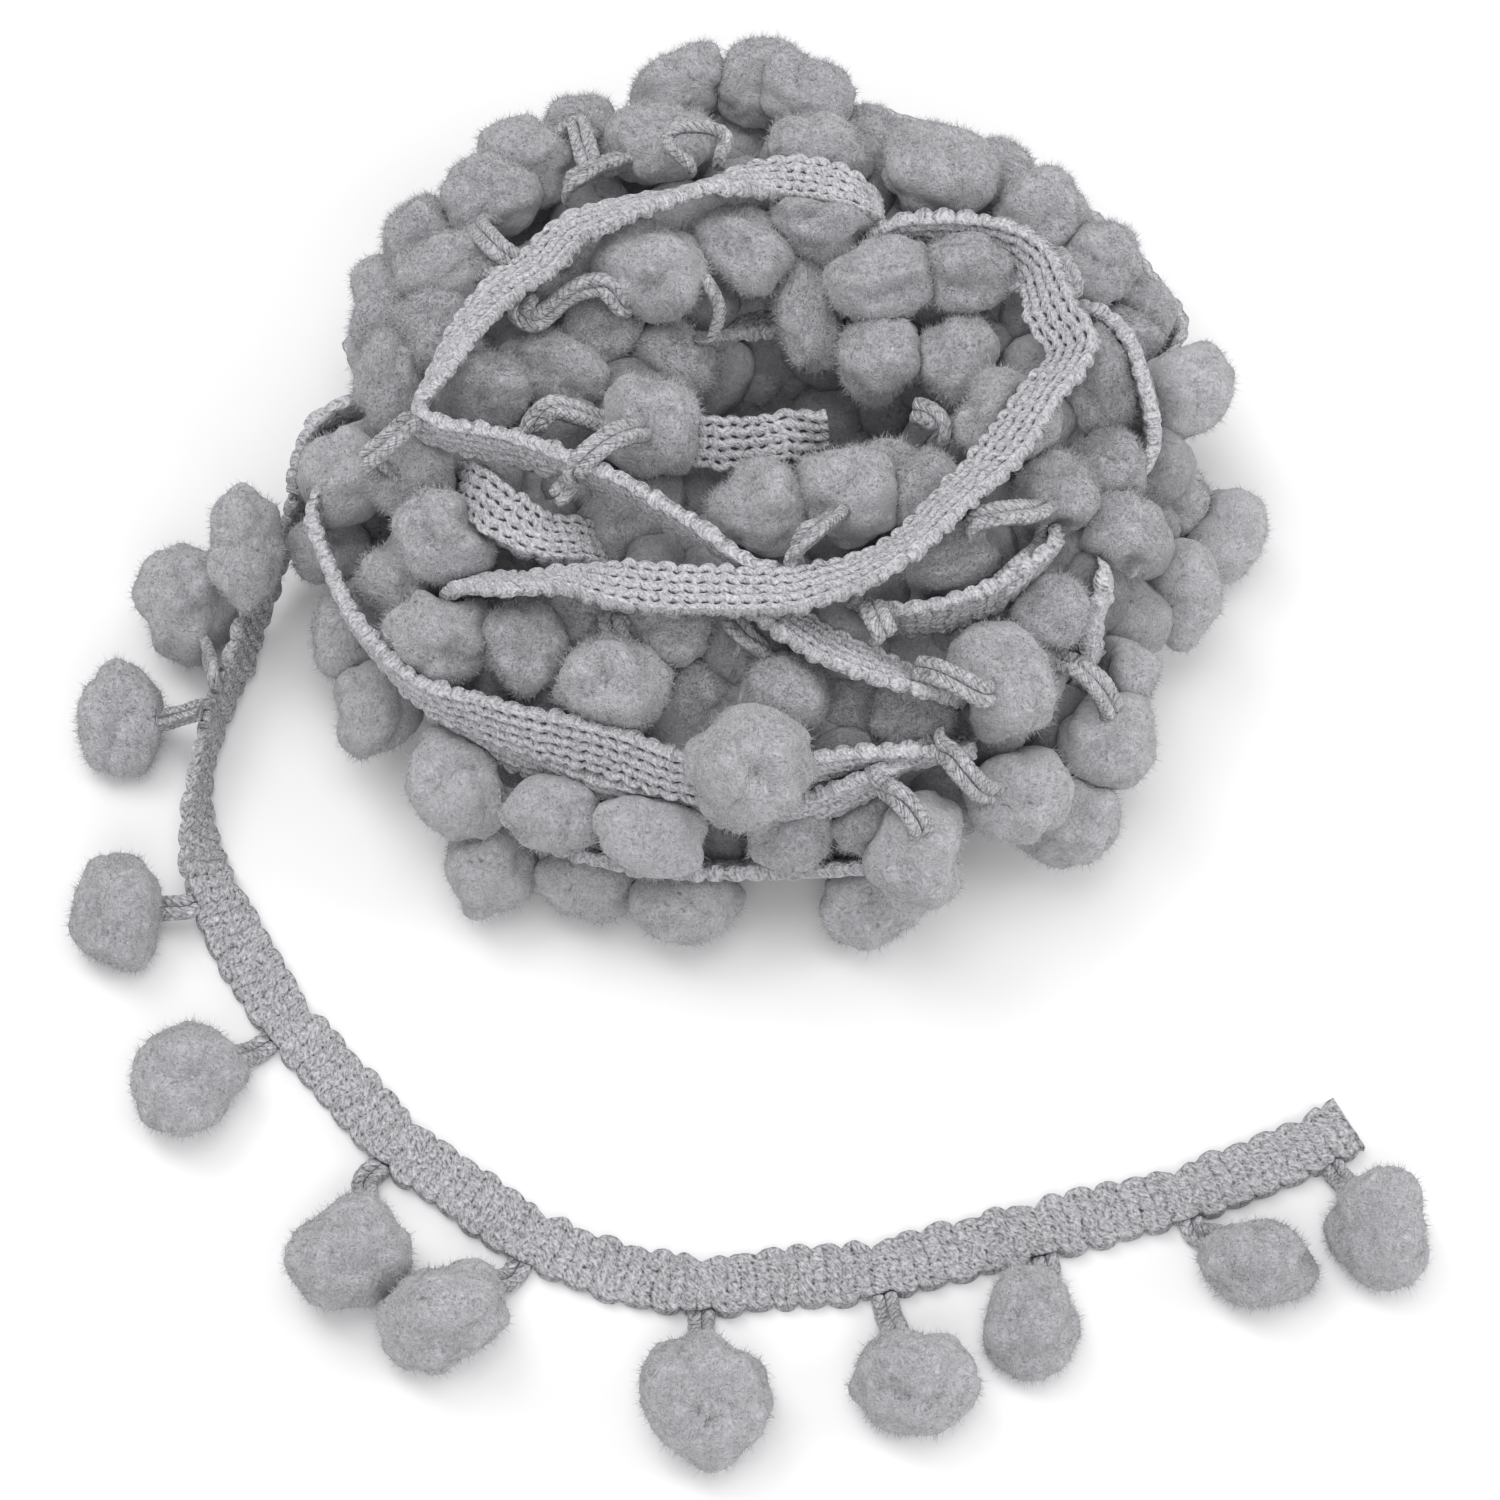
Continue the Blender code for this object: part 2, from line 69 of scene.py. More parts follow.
# Heights of the stitches on the braid's upper and lower side and of the beads along its edges, and
# how far below its half thickness they start
UPPER_RELIEF, LOWER_RELIEF, EDGE_BEAD = 1.0, 0.8, 1.2
RELIEF_ROOM = 0.6
CROSSING = 2.4  # half length of the braid that a cord's crossing stitches take
CROSSING_PULLS = (0.6, 0.9)  # how far a crossing draws in the edge with the cord and the other edge
CORD_THICKNESS = 2.2  # one of the two strands of a cord
HANK_CORD_THICKNESS = 2.3  # the same where the cords lie loose on the hank
CORD_ROW = 1.25  # length of a stitch in a strand
# The first end of a cord, by the braid, and its last one go into a ball that is this near, as a
# share of the ball's own size
FIRST_TOUCH = 1.35
LAST_TOUCH = 2.05
CORD_DEPTH = 0.55  # how near to the ball's middle it then ends
SUNK_END = 2.8  # how deep the end of a cord goes into the wool or under the braid
SINKING = 3.5  # length of cord over which it goes down
TAIL_CORD_INSET = 1.2  # how far in from the braid's edge a cord of the free end starts
TAIL_CORD_REACH = 0.86  # where it ends in its ball, as a share of the ball's own size
BALL_DEPTH = 0.92  # a ball's third size, as a share of its width
BALL_PLANE = 30  # degrees by which the plane of a ball's length and width tips up at the back
RING_RADIUS = 48.0  # middle line of the winding, from the axis
RING_HEIGHT = 28.0
CLEARANCE = 0.02  # nothing comes nearer to the table than this
PRESSING_STEP = 1.5  # how far apart the places of the braid are that press on the wool
GROUP = 24  # balls in each piece of the hank

BALLS = [
    # x, y, z, long, wide, slant
    # back rim
    (-16, 72.5, 37.5, 17, 12.5, 38), (-3, 74, 37, 16, 14, 40), (6, 69, 39, 17, 13, -30),
    (-42.5, 54, 40, 17, 15.5, 0), (-33, 63.5, 35, 14, 12, 20), (-19.5, 56, 42, 18, 15, 10),
    (8, 54, 42, 18.5, 14.5, -10), (16, 65.5, 31, 12.5, 11.5, 0), (27.5, 50, 42, 19.5, 16.5, 0),
    (38.5, 57, 32, 13, 12, 0), (46.5, 43.5, 38, 17, 15.5, -30), (55, 36.5, 35, 16.5, 14, -45),
    (63, 33, 26, 15, 11, 90), (60, 27.5, 26, 13, 12, 0),
    # left rim
    (-48.5, 44.5, 42, 16.5, 14, 20), (-60, 39.5, 36, 16, 14, 100), (-66, 35.5, 29, 14, 13, 90),
    (-54, 28.5, 43, 16, 13, 10), (-57, 19.5, 42, 14, 12, 0), (-65, 25.5, 33, 13, 12, 0),
    (-64, 11, 38, 17, 12, 85), (-54, 13, 45, 12, 10, 0), (-72, -3, 30, 16.5, 15, 75),
    (-59, -10, 41, 14, 12, 0), (-53, -23, 43, 17, 14, -35), (-61, -24, 33, 14, 13, 0),
    (-75, -10, 17, 13, 12, 0),
    # back slope that faces the hollow
    (-20, 27, 46, 18, 17.5, 0), (-5, 33, 46, 17.5, 13, -35), (-35, 30, 40, 15, 12, 0),
    (-29, 21, 38, 15, 12, 10), (-18, 18, 33, 17, 14.5, -10), (-36, 12, 38, 18.5, 12.5, -12),
    (-49, 6, 43, 15, 12.5, 0), (-21, -1, 43, 19, 15.5, -55), (9, 36, 49, 19.5, 12.5, -5),
    (18, 25, 47, 19, 14, 12), (33, 27, 47, 17.5, 13, 5), (6, 24, 38, 18.5, 11, 95),
    (18, 14, 40, 15.5, 14, 80), (31, 13, 41, 15.5, 14, 90),
    # bottom of the hollow
    (-6, 25, 16, 15, 13, 0), (4, 28, 14, 16, 13, 0), (13, 20, 13, 20, 14, -20),
    # front lip of the hollow
    (-2, -17, 43, 16, 14.5, 0), (12, -15, 43, 17, 15.5, 0), (19, -7, 38, 14, 12, 0),
    (25, -14, 43, 13.5, 12, 80), (-27, -19, 36, 16, 14, 0),
    # right rim
    (69, 16.5, 25, 19.5, 15.5, 35), (38, -1, 45, 16, 15, 0), (54, 9, 38, 20, 12, 82),
    (56, -4, 35, 15, 13, 0), (46, -13, 40, 14.5, 14, 90), (57, -18, 34, 16, 13, 65),
    (77, -2, 10, 16, 15.5, 0), (69, 1, 14, 14, 12, 0), (68, -17, 16, 18.5, 14.5, 95),
    (44, -33, 37, 14, 13, 0), (29, -26, 42, 15, 11, 15), (42, -18, 30, 15, 13, 0),
    # front slope
    (37, -47, 39, 19, 18, 0), (22, -49, 33, 14.5, 11.5, 0), (13, -47, 31, 14, 12, 0),
    (2, -48, 37, 16, 14.5, 90), (-11, -46, 31, 15, 13, 90), (-17, -38, 41, 15, 12.5, 0),
    (-26, -48, 39, 19, 16.5, -10), (-30, -35, 37, 14, 12, 0), (-40, -40, 38, 15.5, 14.5, 100),
    (-54, -37, 37, 18, 16.5, 10), (-4, -63, 41, 19, 18.5, 0),
    # front foot
    (39, -60, 24, 16.5, 16, 0), (48, -59, 13, 17.5, 16, 0), (55, -48, 22, 15.5, 15, 0),
    (57, -36, 22, 14, 12, 0), (23, -71, 26, 18, 16.5, 85), (16, -71, 10, 17.5, 15, 0),
    (15, -65, 24, 14, 12, 0), (3, -66, 24, 15.5, 12, 0), (-20, -68, 27, 18.5, 12.5, -5),
    (-35, -64, 26, 15, 12, 0), (-51, -56, 22, 18.5, 15.5, 110), (-15, -71, 10, 17.5, 15.5, 0),
    (-30, -67, 9, 16.5, 13.5, 0), (-47, -66, 10, 16.5, 14.5, 75), (-66, -39, 15, 15.5, 14, 90),
    (-71, -26, 15, 15.5, 13.5, 90),
]

BALL_ROWS = [
    # radius, height, from, to, count, size
    (71, 9, 26, 168, 12, 17),
    (69, 24, 50, 158, 8, 17),
]
ROW_BALL_WIDTH = 0.88
ROW_BALL_SLANTS = (0, 25, 50)

# A lean turns the braid's face about its length, from where the hank faces outward
BRAID_TURNS = {
    "upper_left_turn": [
        # x, y, z, lean
        (18, 40, 48, 46), (13, 41, 50, 28), (4, 43, 51, 14), (-3.5, 42, 52, 36), (-8, 40, 53, 60),
        (-11.5, 39, 54, 71), (-17.5, 37, 54, 66), (-23.5, 35, 54, 54), (-29, 32.5, 54, 39),
        (-34, 30, 54, 33), (-39, 23.5, 54, 34), (-44.5, 18.5, 54, 28), (-48.5, 13, 54, 35),
        (-52.5, 7, 53, 39), (-55, 1.5, 53, 44), (-57.5, -5, 53, 62), (-54, -8, 53, 90),
        (-44, -10, 52, 94), (-35, -13, 52, 110), (-28, -16, 52, 134), (-15, -24, 52, 144),
        (-5, -31, 50, 142), (3, -33, 45, 142),
    ],
    "front_turn": [
        (16, 33, 47, 80), (22, 34, 49, 80), (30, 33, 50, 84), (38, 31, 50, 84), (44, 25, 51, 66),
        (46, 15, 52, 36), (49, 8, 52, 44), (44, -1, 53, 26), (37, -12, 53, 8), (28, -22, 53, 12),
        (21, -30, 53, 18), (12, -35, 53, 6), (1, -38, 53, -8), (-12, -38, 53, -14),
        (-23, -37, 53, -2), (-32, -35, 51, 36), (-42, -34, 48, 60), (-49, -31, 42, 70),
        (-52, -30, 36, 70),
    ],
    "lower_turn": [
        (-78, -8, 30, 6), (-75, -17, 31, 12), (-69, -31, 33, 18), (-62, -41, 34, 22),
        (-54, -48, 35, 16), (-42, -53, 36, 4), (-28, -57, 36, 2), (-15, -62, 36, 2),
        (-2, -63, 36, 20), (11, -60, 36, 34), (20, -59, 36, 40), (27, -57, 33, 44),
        (30, -52, 27, 44),
    ],
    "under_turn": [
        (-59, -41, 27, 4), (-53, -47, 27, -4), (-43, -53, 27, -6), (-28, -60, 27, -6),
        (-13, -63, 27, -6), (-2, -65, 28, 0), (9, -64, 31, 12), (18, -61, 34, 32),
        (24, -56, 32, 44),
    ],
    "foot_turn": [
        (-48, -57, 20, 2), (-41, -62, 18, 6), (-31, -66, 17, 10), (-18, -69, 17, 10),
        (-2, -69, 17, 8), (12, -69, 17, 4), (20, -65, 14, 4),
    ],
    "crossing_turn": [
        (-7, -35, 48, -12), (-1, -38, 47, -12), (7, -43, 46, -22), (15, -47, 45, -40),
        (23, -49, 43, -64), (30, -48, 38, -64),
    ],
    "short_ribbed_turn": [
        (14, -33, 40, -56), (18, -37, 43, -62), (23, -38, 44, -78), (31, -36, 44, -88),
        (37, -33, 44, -92), (43, -27, 43, -88), (45, -21, 38, -88),
    ],
    "inner_left_turn": [
        (-52, -10, 40, 40), (-48, -16, 46, 30), (-43, -21, 47, 10), (-37, -24, 46, 0),
        (-31, -23, 43, 10), (-26, -22, 37, 10),
    ],
    "end_in_hollow": [
        (-20, -1, 40, 50), (-14, -2, 40, 60), (-6, -2, 39, 68), (3, 0, 38, 76), (9, 1, 38, 84),
    ],
    "turn_in_hollow": [
        (-14, 26, 31, 70), (-2, 28, 30, 70), (8, 28, 31, 70),
    ],
    "left_side_turn": [
        (-71.1, 11.7, 33, 21), (-73.5, 9.7, 32, 26), (-76.1, 7.4, 30, 27), (-78.1, 5.1, 27, 24),
        (-79.3, 3.5, 24, 19), (-79.8, 2.6, 21.6, 14), (-80, 2, 20.3, 10),
    ],
    "right_side_turn": [
        (52, 24, 43, -32), (56, 20, 43, -32), (60, 14, 42, -34), (62, 7, 40, -32),
        (63, 1, 36, -22), (63, -7, 32, -14),
    ],
    "right_front_turn": [
        (58, -24, 38, -38), (54, -29, 35, -26), (52, -35, 30, -14), (54, -41, 24, 0),
    ],
}

BRAID_ARCS = {
    # radius, height, from, to, rise, lean
    "back_foot_turn": (77, 17, 20, 164, 2, 10),
    "back_turn": (73, 28, 64, 148, 3, 30),
}
# How deep the first and the last end of a turn go down between the balls
END_DEPTHS = {
    "upper_left_turn": (3, 0),
    "front_turn": (3, 2),
    "lower_turn": (3, 3),
    "under_turn": (2, 3),
    "foot_turn": (3, 3),
    "crossing_turn": (0, 3),
    "short_ribbed_turn": (2, 3),
    "inner_left_turn": (2, 2),
    "left_side_turn": (6, 0),
    "right_side_turn": (3, 6),
    "right_front_turn": (5, 5),
    "back_foot_turn": (7, 7),
    "back_turn": (7, 7),
}
END_LENGTH = 9  # length of braid over which an end goes down
ARC_STEP = 12  # degrees between the points of an arc
ARC_WAVES = 3  # rises and falls of an arc in a full turn

TAIL = [
    # x, y, z, lean
    (-80.2, 1.6, 19.3, -90), (-80.8, 0.4, 17, -92), (-82, -1.6, 14, -94),
    (-83.8, -4.5, 11.5, -93), (-85.7, -7.9, 9.5, -88), (-87.6, -14.1, 8, -83),
    (-89.3, -20.3, 7.4, -81), (-91, -26.2, 7, -81), (-93, -32.7, 6.6, -85),
    (-95, -41.1, 6.3, -86), (-96, -49.8, 6.1, -82), (-95.5, -57.4, 5.5, -64),
    (-94, -64, 4.2, -40), (-91.5, -69, 2.4, -16), (-89, -74, 1.5, -5), (-86, -79, 1.3, 0),
    (-79.5, -89, 1.3, 0), (-70.5, -99.5, 1.3, 0), (-61.5, -109.5, 1.3, 0),
    (-51.5, -117.5, 1.3, 0), (-38.5, -126.5, 1.3, 0), (-27.5, -131.5, 1.3, 0),
    (-18, -134, 1.3, 0), (-9, -134.5, 1.3, 0), (1, -133.5, 1.3, 0), (13.5, -132.5, 1.3, 0),
    (25, -130, 1.3, 0), (36, -127, 1.3, 0), (48.5, -124, 1.3, 0), (60, -121, 1.3, 0),
    (72, -117, 1.3, 0), (83, -112.5, 1.3, 0), (92.5, -107.5, 1.3, 0),
]

# Balls of the free end. lift is the height of the underside, and along is how far along the braid
# the cord starts.
TAIL_BALLS = [
    # x, y, lift, long, wide, slant, along
    (-88.9, -13.3, 17, 20, 12.5, 88, 20),
    (-99.8, -15.5, 2, 18.5, 16.5, 90, 40),
    (-109.5, -37, 0, 19, 12.5, 90, 47),
    (-107.5, -73.5, 0, 18, 14, 100, 77),
    (-94, -102.5, 0, 17, 16, 30, 104),
    (-66.5, -132.5, 0, 18.5, 17, 10, 132),
    (-51.5, -142, 0, 18.5, 17, 0, 159),
    (-10.5, -154, 0, 19.5, 18, 90, 187),
    (21.5, -152, 0, 18.5, 16, 0, 215),
    (40.5, -142, 0, 17, 14, 70, 241),
    (76, -133, 0, 18, 13.5, -5, 265),
    (95, -126.5, 0, 18, 15.5, 100, 289),
]

# Creases of the free end's balls that fall in two lobes: turn, offset, depth, length, bend
LOBES = {0: [(90, -0.05, 0.24, 2.0, 0.0)]}

CORDS = {
    # x, y, z
    "back_left_of_the_turn": [
        (-50, 36.8, 46), (-48.2, 32, 50), (-46, 28.1, 52), (-43.6, 25.7, 51),
    ],
    "inside_the_turn": [
        (-41.3, 20.1, 51, 0), (-42.1, 17.5, 49, 20), (-39.7, 16.9, 47.5, 40),
        (-37.2, 18.9, 47.5, 50), (-35.2, 20.4, 48.5, 60), (-31.9, 21.9, 49.5, 50),
        (-28.2, 22.3, 49.5, 40), (-26.3, 21.3, 48, 30), (-24.7, 20.5, 46, 30),
    ],
    "left_knot": [(-56.8, -4.4, 54), (-59.1, -8.1, 55), (-62.3, -11.1, 54), (-66.1, -12.4, 50)],
    "over_the_inner_turn": [
        (-32.6, -17.3, 49), (-32.3, -16.9, 54), (-29.2, -14.6, 57), (-25.5, -11.6, 57),
        (-22, -7.4, 52),
    ],
    "loop_by_the_inner_turn": [
        (-39.6, -6.8, 46), (-39, -4.4, 49), (-36.2, -1.9, 50), (-32.7, -2.1, 49),
        (-28.5, -2.1, 46),
    ],
    "onto_the_front_lip": [(2, -31.7, 50), (3.9, -30.3, 54), (6.4, -27.9, 55), (9.4, -23, 50)],
    "right_of_the_front_turn": [
        (29.6, -25.2, 51), (33.1, -24.6, 53), (37.1, -23.8, 53), (42.4, -20.7, 49),
    ],
    "two_ends": [(15.1, -36.4, 48), (16.2, -41, 51), (17.4, -44.5, 52), (18.3, -45.7, 49)],
    "off_the_crossing_turn": [
        (20.9, -47.5, 45), (24.8, -49.5, 48), (28.6, -51.8, 49), (33.2, -53.3, 47),
    ],
    "off_the_short_turn": [
        (34, -33.6, 45), (37.6, -32.6, 47), (40.6, -29.6, 47), (44, -23.4, 42),
    ],
    "under_the_front_turn": [(-6.5, -38.6, 44), (-4.1, -41.5, 44), (-0.3, -43, 40)],
    "right_of_the_lower_turn": [
        (24.6, -57.5, 38), (27.7, -60.3, 40), (30.1, -63.5, 40), (33.2, -63.7, 34),
    ],
    "below_the_lower_turn": [
        (14.1, -63.6, 36), (17.5, -65.4, 38), (20.6, -68.3, 39), (23.2, -71.1, 36),
    ],
    "right_front": [(45.9, -39.9, 33), (49.2, -42.7, 36), (52.3, -45.6, 36), (54.9, -46.8, 30)],
    "back_left_rim": [(-34.4, 59.8, 44), (-32.6, 54.2, 46), (-31.3, 49.6, 46), (-29, 49.8, 44)],
    "low_back_left_rim": [(-37, 44.2, 46), (-33.5, 45.3, 48), (-28.9, 49.6, 46)],
    "back_right": [(46.8, 34.5, 44), (48, 28.2, 48), (49.1, 22.5, 48)],
    "lip_to_the_foot": [(-25.9, -37.5, 44), (-25.1, -41.9, 44)],
    "right_rim_of_the_hollow": [
        (21.7, 1.8, 44), (25.4, -1.2, 47), (28, -3.1, 45), (27.5, -3.1, 40),
    ],
}

# Single strands that stand up in a loop
LOOPS = {
    "heart_loop": [
        (-12.1, 44, 51), (-14.4, 44.9, 53), (-17.1, 46.8, 54), (-18, 49.3, 54),
        (-16.5, 50.4, 55), (-13.8, 50.9, 55), (-10.7, 50.6, 55), (-8.5, 49.6, 55),
        (-7.9, 48.3, 54), (-9, 46.7, 53), (-9.7, 44.4, 51),
    ],
    "edge_of_the_hollow": [
        (-12.7, 26.9, 48), (-10.4, 22.3, 49), (-9, 19.9, 46), (-10, 17.7, 42),
        (-11.7, 16.7, 38),
    ],
}
FILLER_ROOM = 9.5  # distance from a deep ball to the next
FILLER_TRIES = 5000
FILLER_FLOOR = 7  # least height of its middle
FILLER_SIZES = (14, 16.5)
GAP_BALLS = [(-66, -4, 13, 15, 13, 90)]  # a deep ball that closes a gap at the side

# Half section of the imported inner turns: distance from the axis, height
CORE_PROFILE = [
    (0, 3), (56, 3), (62, 7), (63, 20), (59, 30), (51, 35),
    (40, 36), (29, 33), (22, 26), (18, 17), (13, 9), (0, 6),
]
HOLLOW_SHIFT = (10, 8)  # how far the hollow lies from the middle
CORE_RADIUS = 68
CORE_STEPS = 72

# Wool: cells along an edge of each kind of ball, before it is rounded
BALL_CELLS = {"tail": 16, "fine": 14, "plain": 11, "row": 8, "filler": 5}
FINE_HEIGHT = 30  # the listed balls above this height are fine, and those below it plain
TUFTS = [(7, 0.22), (32, 0.17), (120, 0.06)]  # how many, and their height as a share of the ball
FLAT_EDGE = 0.09  # softness of the edge of a flat, as a share of the ball
# painted shade on the wool where it is pressed flat against other balls and the braid
PRESSED_SHADE = 0.5  # how much darker the wool looks where it goes down between two balls
# Loose fibres of each kind of ball, their leans, lengths and radii
FUZZ_COUNTS = {"tail": 1500, "fine": 1260, "plain": 610, "row": 140, "filler": 5}
FUZZ_LEANS = (0.2, 2.7)
FUZZ_LENGTHS = (0.9, 2.1)
FUZZ_RADII = (0.05, 0.085)

# View: degrees above the table, metres from the origin, and shares of the picture's width
VIEW_ELEVATION = 60
VIEW_DISTANCE = 0.7255
VIEW_SHIFT = (-0.0157, -0.1329)

# Studio: name, place in metres, and watts of each soft box
SOFT_BOXES = [
    ("top_box", (0, -0.05, 1.0), 2.5),
    ("back_left_box", (-0.45, 0.35, 0.9), 3.1),
    ("front_box", (0, -0.8, 0.8), 2.5),
    ("right_box", (0.9, -0.1, 0.4), 2.9),
]
SOFT_BOX_SIZE = 0.6
LIGHT_AIM = (0, -0.03, 0)
ROOM_LIGHT = 0.56


# ---------------------------------------------------------------- shader expressions

class Link:
    """The output of a node. Sums and products of links, or of links and numbers, are Math nodes."""

    def __init__(self, finish, socket):
        self.finish = finish
        self.socket = socket

    def maths(self, operation, *others):
        return self.finish.node("Math", {"operation": operation}, [self, *others])

    def __add__(self, other):
        return self.maths("ADD", other)

    __radd__ = __add__

    def __sub__(self, other):
        return self.maths("SUBTRACT", other)

    def __rsub__(self, other):
        return self.finish.node("Math", {"operation": "SUBTRACT"}, [other, self])

    def __mul__(self, other):
        return self.maths("MULTIPLY", other)

    __rmul__ = __mul__

    def __pow__(self, other):
        return self.maths("POWER", other)

    def __abs__(self):
        return self.maths("ABSOLUTE")

    def sin(self):
        return self.maths("SINE")

    def colour(self):
        """The colour output of the same node."""
        return Link(self.finish, self.socket.node.outputs["Color"])

    def fraction(self):
        return self.maths("FRACT")

    def least(self, other):
        return self.maths("MAXIMUM", other)

    def step(self, low, high):
        """0 below low, 1 above high, and a smooth rise between them."""
        sockets = {"Value": self, "From Min": low, "From Max": high}
        return self.finish.node("MapRange", {"interpolation_type": "SMOOTHSTEP"}, sockets)


class Finish:
    """A material on one Principled shader."""

    def __init__(self, name):
        self.material = bpy.data.materials.new(name)
        self.material.use_nodes = True
        self.tree = self.material.node_tree
        self.shader = self.tree.nodes["Principled BSDF"]

    def node(self, kind, settings=(), sockets=(), output=0):
        """Adds a node. sockets gives numbers, colours or links by name, or in order."""
        node = self.tree.nodes.new("ShaderNode" + kind)
        for name, value in dict(settings).items():
            setattr(node, name, value)
        pairs = sockets.items() if isinstance(sockets, dict) else enumerate(sockets)
        for name, value in pairs:
            self.feed(node.inputs[name], value)
        return Link(self, node.outputs[output])

    def feed(self, socket, value):
        if isinstance(value, Link):
            self.tree.links.new(value.socket, socket)
        else:
            socket.default_value = value

    def set(self, **values):
        for name, value in values.items():
            self.feed(self.shader.inputs[name.replace("_", " ")], value)

    def noise(self, place, scale, detail=2.0, roughness=0.5, distortion=0.0):
        sockets = {
            "Vector": place, "Scale": scale, "Detail": detail,
            "Roughness": roughness, "Distortion": distortion,
        }
        return self.node("TexNoise", {}, sockets)

    def vector(self, operation, first, second):
        return self.node("VectorMath", {"operation": operation}, [first, second])

    def bump(self, height, distance, strength):
        return self.node("Bump", {}, {"Height": height, "Distance": distance, "Strength": strength})

    def tint(self, level, dark, light):
        """A colour between dark and light."""
        return self.node("Mix", {"data_type": "RGBA"}, {0: level, 6: dark, 7: light}, 2)

    def place(self):
        return self.node("TexCoord", {}, {}, "Object")

    def parts(self, name):
        """The three numbers of a point attribute."""
        vector = self.node("Attribute", {"attribute_name": name}, {}, "Vector")
        split = self.node("SeparateXYZ", {}, [vector]).socket.node
        return [Link(self, socket) for socket in split.outputs]


def grey(level):
    """The trim's cool grey at that lightness."""
    return (level * 0.995, level * 0.988, level * 1.04, 1.0)


def wool_finish(name, light, dark):
    """Felted wool: fine fibres that cross each other, with painted shade in the gaps between them,
    soft patches, and broken creases with painted shade along them. Attributes crease_a and crease_b
    hold the distance from a crease and how open it is there, then the painted shade where the wool
    is pressed flat, and how dull the ball is."""
    f = Finish(name)
    place = f.place()
    a_far, a_open, contact_shade = f.parts("crease_a")
    b_far, b_open, dull = f.parts("crease_b")
    swirl = f.vector("SUBTRACT", f.noise(place, 170, 2).colour(), (0.5, 0.5, 0.5))
    swirled = f.vector("ADD", place, f.vector("MULTIPLY", swirl, (0.006, 0.006, 0.006)))
    # fibres and grain: the wool's fine texture, darker where its bump is low, as painted shade in
    # the gaps between the fibres
    fibres = 0.0
    for squeeze in ((1, 1, 0.3), (0.3, 1, 1), (1, 0.3, 1)):
        fibres = f.noise(f.vector("MULTIPLY", swirled, squeeze), 2600, 3, 0.7) - 0.5 + fibres
    grain = f.noise(place, 1500, 4, 0.75) - 0.5
    mottle = f.noise(place, 260, 3, 0.6) - 0.5
    # creases: broken lines of painted shade along them, also sunk a little in the bump
    ragged = (f.noise(place, 420, 4, 0.65) - 0.5) * 0.5
    broken = f.noise(place, 900, 2).step(0.5, 0.64)
    a_line = (1 - abs(a_far + ragged).step(0.0, 0.09)) * a_open
    b_line = (1 - abs(b_far + ragged).step(0.0, 0.09)) * b_open
    line = a_line.least(b_line) * broken
    # the tone takes off painted shade where the wool is pressed flat against its neighbours
    tone = (
        0.6 + fibres * 0.9 + grain * 0.35 + mottle * 0.5
        - line * 0.4 - contact_shade * PRESSED_SHADE - dull * 0.12
    )
    f.set(
        Base_Color=f.tint(tone, grey(dark), grey(light)),
        Roughness=0.95,
        Sheen_Weight=0.3, Sheen_Roughness=0.6,
        Specular_IOR_Level=0.1,
    )
    height = mottle * 0.8 + fibres * 0.9 + grain * 0.4 - line * 0.4
    f.set(Normal=f.bump(height, 0.7 * MM, 0.6))
    return f.material


def crinkle_and_glints(f, place, along, across):
    """The bright and dark flecks of crinkled yarn: its own mottling, with painted highlights on its
    fibres. along and across are in millimetres.
    """
    strands = f.node("CombineXYZ", {}, [along * 0.5, across, 0.0])
    drawn = f.noise(strands, 2.3, 2, 0.6, 0.3) - 0.5
    loops = f.noise(place, 1500, 2, 0.6, 0.5) - 0.5
    fleck = f.noise(place, 3600, 2, 0.7) - 0.5
    return drawn * 3.0 + loops * 2.0 + fleck * 0.8


